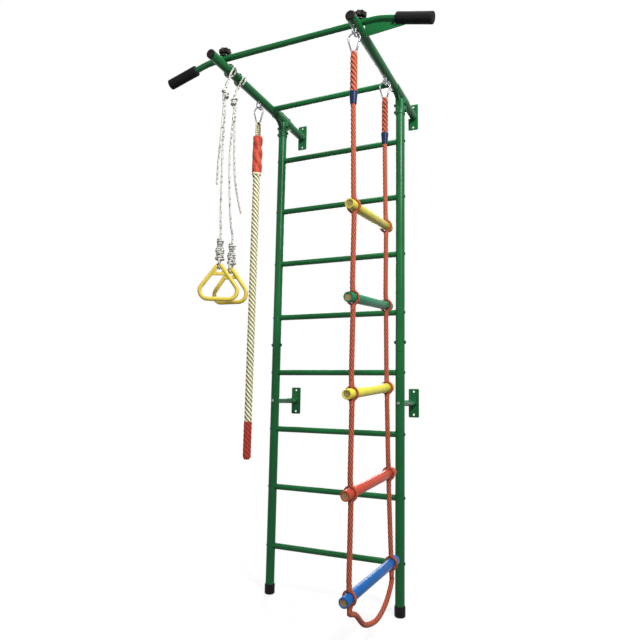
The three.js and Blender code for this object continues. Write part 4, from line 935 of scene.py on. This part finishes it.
def tee_clamps():
    """Pressed half shells, the bolts through their ears and softened edges on the part's own bolts."""
    head = button_head(6.5, 4)
    bolts = []
    for name, side in SIDES:
        for half in ("inner", "outer"):
            node = f"tee_clamp_{name}_{half}"
            shell = fused(copied(node, node + "_pressed"), 1.3, 7)
            finished(shell, "frame", ENAMEL, node, 60)
        for y in (-12, 56):
            for way in (-1, 1):
                place = at(side * HALF + way * 3, y, ARM_Z + 28)
                bolts.append(repeated(head, "ear_bolt_copy", stood(place, (way, 0, 0))))
    bpy.data.objects.remove(head)
    finished(joined("tee_clamp_ear_bolts", bolts), "frame", ENAMEL_BOLT, angle=30)
    for node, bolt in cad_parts.items():
        if "_bolt_" not in node:
            continue
        bolt.data.materials.clear()
        bolt.data.materials.append(STEEL if node.startswith("bracket") else ENAMEL_BOLT)
        modified(bolt, "WELD", merge_threshold=1e-5)
        modified(bolt, "BEVEL", width=0.0007, segments=2, limit_method="ANGLE", angle_limit=radians(50))


def bar_axis(side):
    """Points of one half of the pull-up bar, from its middle to its end."""
    points = [(0, BAR_Z), (BAR_STRAIGHT, BAR_Z)]
    for k in range(1, 17):
        angle = BAR_DROOP * k / 16
        points.append((BAR_STRAIGHT + BAR_BEND * sin(angle), BAR_Z - BAR_BEND * (1 - cos(angle))))
    across, up = points[-1]
    points.append((across + BAR_END * cos(BAR_DROOP), up - BAR_END * sin(BAR_DROOP)))
    return [(side * a, u) for a, u in points]


WEB_INNER, WEB_DEPTH = 310.3, 59
WEB_PAST_BEND = 28.4
GRIP_PAST_BEND = 0.0344


def pull_up_bar():
    line = bar_axis(-1)[:0:-1] + bar_axis(1)[1:]
    bar = wire("pull_up_bar_bent", [at(a, BAR_Y, u) for a, u in line], SLIM_RADIUS, sides=9)
    finished(bar, "frame", ENAMEL, "pull_up_bar", 60)
    right = bar_axis(1)
    bend = [(a, u) for a, u in right if WEB_INNER < a < 400]
    outer = right[-2][0] + WEB_PAST_BEND * cos(BAR_DROOP)
    outer_up = right[-2][1] - WEB_PAST_BEND * sin(BAR_DROOP)
    under_grip = [(458.1, 2137.4), (458.1, 2140.6), (outer, 2150.3), (outer, outer_up)]
    outline = [(WEB_INNER, BAR_Z), (WEB_INNER, BAR_Z - WEB_DEPTH), *under_grip, *bend[::-1]]
    web = slab("pull_up_bar_web", outline, 4, BAR_Y)
    seam_line = [(WEB_INNER + 1.2, BAR_Z), *bend, (outer - 1, outer_up)]
    seams = []
    for way in (-1, 1):
        under = [at(a, BAR_Y + way * 2.6, u - 12.1) for a, u in seam_line]
        seams.append(wire("seam", under, 1.4, sides=3))
    finished(joined("pull_up_bar_web", [web, *seams]), "frame", ENAMEL, angle=35)

    shape = turned("grip", GRIP, steps=48)
    for name, side in SIDES:
        inner, end = (at(a, BAR_Y, u) for a, u in bar_axis(side)[-2:])
        run = (end - inner).normalized()
        foam = repeated(shape, f"grip_{name}_foam", stood(inner + run * GRIP_PAST_BEND, run))
        finished(foam, "frame", FOAM, f"grip_{name}")
    bpy.data.objects.remove(shape)


def knobs():
    for name, _ in SIDES:
        star = fused(copied(f"knob_{name}", f"knob_{name}_star"), 0.9, 4)
        finished(star, f"knob_{name}", BLACK, f"knob_{name}", 50)
    washer = turned("knob_washer_left", WASHER, at(-HALF, BAR_Y, BAR_Z + 12.6))
    finish_pair(washer, "knob_{}", STEEL, angle=30)


HOOKS = (
    ("rope", "rope_hook", "rope_hook_gate", -HALF, ROPE_Y),
    ("ladder_front", "ladder", "ladder_front_gate", HALF, LADDER_FRONT_Y),
    ("ladder_rear", "ladder", "ladder_rear_gate", HALF, LADDER_REAR_Y),
)
HOOK_CIRCLES = [(0, -71.5, 8.5), (0, -22, 22)]
HOOK_EYE = [(1.6, -1.1), (3.2, -1.1), (3.5, -0.8), (3.5, 0.8), (3.2, 1.1), (1.6, 1.1), (1.6, -1.1)]
HOOK_NOSE = [(0, -1), (3.4, -1), (3.9, -0.4), (3.9, 1.8), (3.3, 2.6), (0, 2.6)]
GATE_CHEEK = [(0, 1.6), (3.4, 1.6), (3.6, 2.0), (3.6, 3.0), (3.2, 3.4), (1.9, 3.5), (1.6, 4.3), (0, 4.5)]


def hook_and_gate():
    """Pear-shaped wire hook and its gate, over the origin."""
    bottom, top = belt_arcs(HOOK_CIRCLES, 20)

    def place(point):
        return Vector((point[0], 0, HOOK_CROWN + point[1])) * MM

    foot, shoulder = place(bottom[-1]), place(top[0])
    pivot, nose = foot.lerp(shoulder, 0.17), foot.lerp(shoulder, 0.8)
    along = (nose - pivot).normalized()
    path = [nose + along * 0.0006] + [place(p) for p in top + bottom] + [pivot]
    tongue = turned("tongue", HOOK_EYE, pivot, (0, 1, 0), 28)
    collar = turned("collar", HOOK_NOSE, nose, along, 28)
    hook = joined("hook", [wire("hook", path, 3, sides=5), tongue, collar])
    reach = (nose - pivot).length * 1000
    bar = [(0, 3.9), (3.1, 3.9), (3.5, 4.5), (3.5, reach - 2.4), (3.1, reach - 1.7), (0, reach - 1.7)]
    pieces = [turned("gate", bar, pivot, along, 28)]
    for way in (-1, 1):
        pieces.append(turned("cheek", GATE_CHEEK, pivot, (0, way, 0), 28))
        fork = pivot + Vector((0, way * 0.0025, 0))
        pieces.append(wire("fork", [fork, fork + along * 0.006], 1.0, sides=3))
    return hook, joined("gate", pieces)


def snap_hooks():
    hook, gate = hook_and_gate()
    for label, body, gate_body, x, y in HOOKS:
        move = Matrix.Translation(at(x, y, 0))
        finished(repeated(hook, f"hook_{label}_wire", move), body, STEEL, f"hook_{label}")
        finished(repeated(gate, f"hook_gate_{label}_bar", move), gate_body, STEEL, f"hook_gate_{label}")
    bpy.data.objects.remove(hook)
    bpy.data.objects.remove(gate)


THIMBLE_RADIUS = 12
THIMBLE_LEGS = (1952, 1995)


def thimble():
    """Bent channel in the rope's eye, with the thin rope that lies in it."""
    x, y = -HALF, ROPE_Y
    centre = HOOK_FOOT + 6 - THIMBLE_RADIUS
    path = [at(x, y - THIMBLE_RADIUS, z) for z in THIMBLE_LEGS]
    for k in range(25):
        angle = pi - pi * k / 24
        path.append(at(x, y + THIMBLE_RADIUS * cos(angle), centre + THIMBLE_RADIUS * sin(angle)))
    path += [at(x, y + THIMBLE_RADIUS, z) for z in THIMBLE_LEGS[::-1]]
    flanges = [wire("flange", [p + Vector((off, 0, 0)) for p in path], 1.4) for off in (-0.0046, 0.0046)]
    metal = joined("rope_thimble_bent", [wire("channel", path, 2.5, sides=5), *flanges])
    finished(metal, "climbing_rope", BRASS, "rope_thimble", 50)
    middle = at(x, y, centre)
    eye = []
    for p in path:
        outward = Vector((0, copysign(0.0026, p.y - middle.y), 0))
        eye.append(middle + (p - middle) * 1.22 if p.z > middle.z else p + outward)
    bight = laid_rope("rope_eye_in_thimble", eye, 3.6, strands=3, lay=0.03, depth=0.2, sides=18, step=0.002)
    finished(bight, "climbing_rope", CREAM, angle=60)


LADDER_RUNG_LENGTH = 425
LADDER_RUNG_END = [
    (0, 1.6), (11.2, 1.8), (11.8, 1.6), (12.2, 0.5), (12.7, 0), (15.8, 0), (16.7, 0.4), (17, 1.3),
]


def ladder_rungs():
    profile = LADDER_RUNG_END + [(r, LADDER_RUNG_LENGTH - d) for r, d in reversed(LADDER_RUNG_END)]
    shape = turned("ladder_rung", profile, steps=48)
    ends = [
        face.index for face in shape.data.polygons
        if hypot(face.center.x, face.center.y) < 0.0119 and abs(face.normal.z) > 0.5
    ]
    for index, skin in enumerate(RUNG_SKINS):
        turn = ladder_frame(index)
        base = at(*(turn @ Vector((0, -LADDER_RUNG_LENGTH / 2, 0))))
        along = turn.to_3x3() @ Vector((0, 1, 0))
        rung = repeated(shape, f"ladder_rung_{index + 1}_skinned", stood(base, along))
        finished(rung, "ladder", [skin, WOOD], f"ladder_rung_{index + 1}", 35)
        for end in ends:
            rung.data.polygons[end].material_index = 1
    bpy.data.objects.remove(shape)


RING_CIRCLES = [(-38.5, -100, 33), (38.5, -100, 33), (0, -13, 13)]
RING_BAR_RADIUS = 8.5
RING_WEB_FOOT, RING_WEB_THICKNESS = -40, 9
RING_HOLE_Z, RING_HOLE_RADIUS = -18.5, 11


def ring_shape():
    """Moulded grip: a rounded triangle of bar with a thick web and a rope hole under its apex."""
    arcs = belt_arcs(RING_CIRCLES, 22)
    points = []
    for arc, after in zip(arcs, arcs[1:] + arcs[:1]):
        points += arc
        (x, z), (next_x, next_z) = arc[-1], after[0]
        count = max(1, int(hypot(next_x - x, next_z - z) / 6))
        points += [(x + (next_x - x) * k / count, z + (next_z - z) * k / count) for k in range(1, count)]
    line = [Vector((a, 0, u)) * MM for a, u in points]
    loop = wire("loop", line, RING_BAR_RADIUS, closed=True, sides=6)
    (low_x, low_z), (high_x, high_z) = arcs[1][-1], arcs[2][0]
    half = high_x + (low_x - high_x) * (RING_WEB_FOOT - high_z) / (low_z - high_z)
    outline = [(-half, RING_WEB_FOOT), (half, RING_WEB_FOOT), (high_x, high_z), (-high_x, high_z)]
    web = slab("web", outline, RING_WEB_THICKNESS, -SHIFT, 1.0)
    drilled(web, Vector((0, 0, RING_HOLE_Z)) * MM, RING_HOLE_RADIUS)
    return fused(joined("ring", [loop, web]), 1.3, 5)


def rings():
    shape = ring_shape()
    for ring_set in RING_SETS:
        node = "ring_" + ring_set["name"]
        yaw = Matrix.Rotation(radians(ring_set["yaw"]), 4, "Z")
        turn = Matrix.Translation(at(-HALF, -ring_set["reach"], RING_APEX)) @ yaw
        finished(repeated(shape, node + "_moulded", turn), node, YELLOW, node, 60)
    bpy.data.objects.remove(shape)


uprights()
plate_shape = wall_plate()
arms(plate_shape)
wall_brackets(plate_shape)
bpy.data.objects.remove(plate_shape)
tee_clamps()
pull_up_bar()
knobs()
snap_hooks()
thimble()
ladder_rungs()
rings()


def seen_mix(owner, output):
    """Emptied nodes of a material or world, with a mix of what light meets and what the camera sees."""
    owner.use_nodes = True
    tree = owner.node_tree
    tree.nodes.clear()
    out, mix, rays = add(tree, output), add(tree, "MixShader"), add(tree, "LightPath")
    seen = add(tree, "Math", operation="MAXIMUM")
    wired(tree, (rays, "Is Camera Ray", seen, 0), (rays, "Is Glossy Ray", seen, 1), (mix, 0, out, "Surface"))
    return tree, mix, rays, seen


def pale_floor():
    """Floor that the camera sees as white with soft shadows and that throws little light back."""
    deselect()
    ops.mesh.primitive_plane_add(size=40, location=(0, 0, 0))
    floor = bpy.context.object
    floor.name = "floor"
    made = bpy.data.materials.new("pale_floor")
    tree, mix, rays, seen = seen_mix(made, "OutputMaterial")
    matt, glow = add(tree, "BsdfDiffuse"), add(tree, "Emission", {"Strength": 1.0})
    place, far = add(tree, "TexCoord"), add(tree, "VectorMath", operation="LENGTH")
    fade = add(tree, "MapRange", {"From Min": 0.6, "From Max": 2.2, "To Min": 0.8, "To Max": 1.0})
    share = add(tree, "Math", operation="MULTIPLY")
    bright, dull = (0.9, 0.9, 0.9, 1), (0.22, 0.22, 0.22, 1)
    tree.links.new(mix_colours(tree, rays.outputs["Is Diffuse Ray"], bright, dull), matt.inputs["Color"])
    wired(
        tree, (place, "Object", far, 0), (far, "Value", fade, "Value"), (seen, 0, share, 0),
        (fade, "Result", share, 1), (share, 0, mix, 0), (matt, 0, mix, 1), (glow, 0, mix, 2),
    )
    floor.data.materials.append(made)


def white_room():
    """White to the camera and in reflections, a weak even light for everything else."""
    world = bpy.data.worlds.new("white_room")
    bpy.context.scene.world = world
    tree, mix, _, seen = seen_mix(world, "OutputWorld")
    soft = add(tree, "Background", {"Color": (0.95, 0.97, 1.0, 1), "Strength": 0.05})
    white = add(tree, "Background", {"Color": (1, 1, 1, 1), "Strength": 1.0})
    wired(tree, (seen, 0, mix, 0), (soft, 0, mix, 1), (white, 0, mix, 2))


def soft_lamp(name, place, target, size, power):
    data = bpy.data.lights.new(name, "AREA")
    data.shape = "DISK"
    data.size = size
    data.energy = power
    lamp = new_object(name, data)
    lamp.location = place
    lamp.rotation_euler = (Vector(target) - Vector(place)).to_track_quat("-Z", "Y").to_euler()


pale_floor()
white_room()
soft_lamp("key", (2.2, -1.9, 3.2), (0, 0, 1.2), 1.0, 170)
soft_lamp("fill", (-1.6, -3.2, 2.0), (0, 0, 1.1), 1.6, 16)
soft_lamp("top", (-0.2, 0.2, 4.6), (0, 0, 1.0), 2.2, 110)
soft_lamp("back", (-1.2, 3.4, 2.4), (0, 0, 1.1), 2.0, 90)

bpy.context.scene.view_settings.view_transform = "Standard"
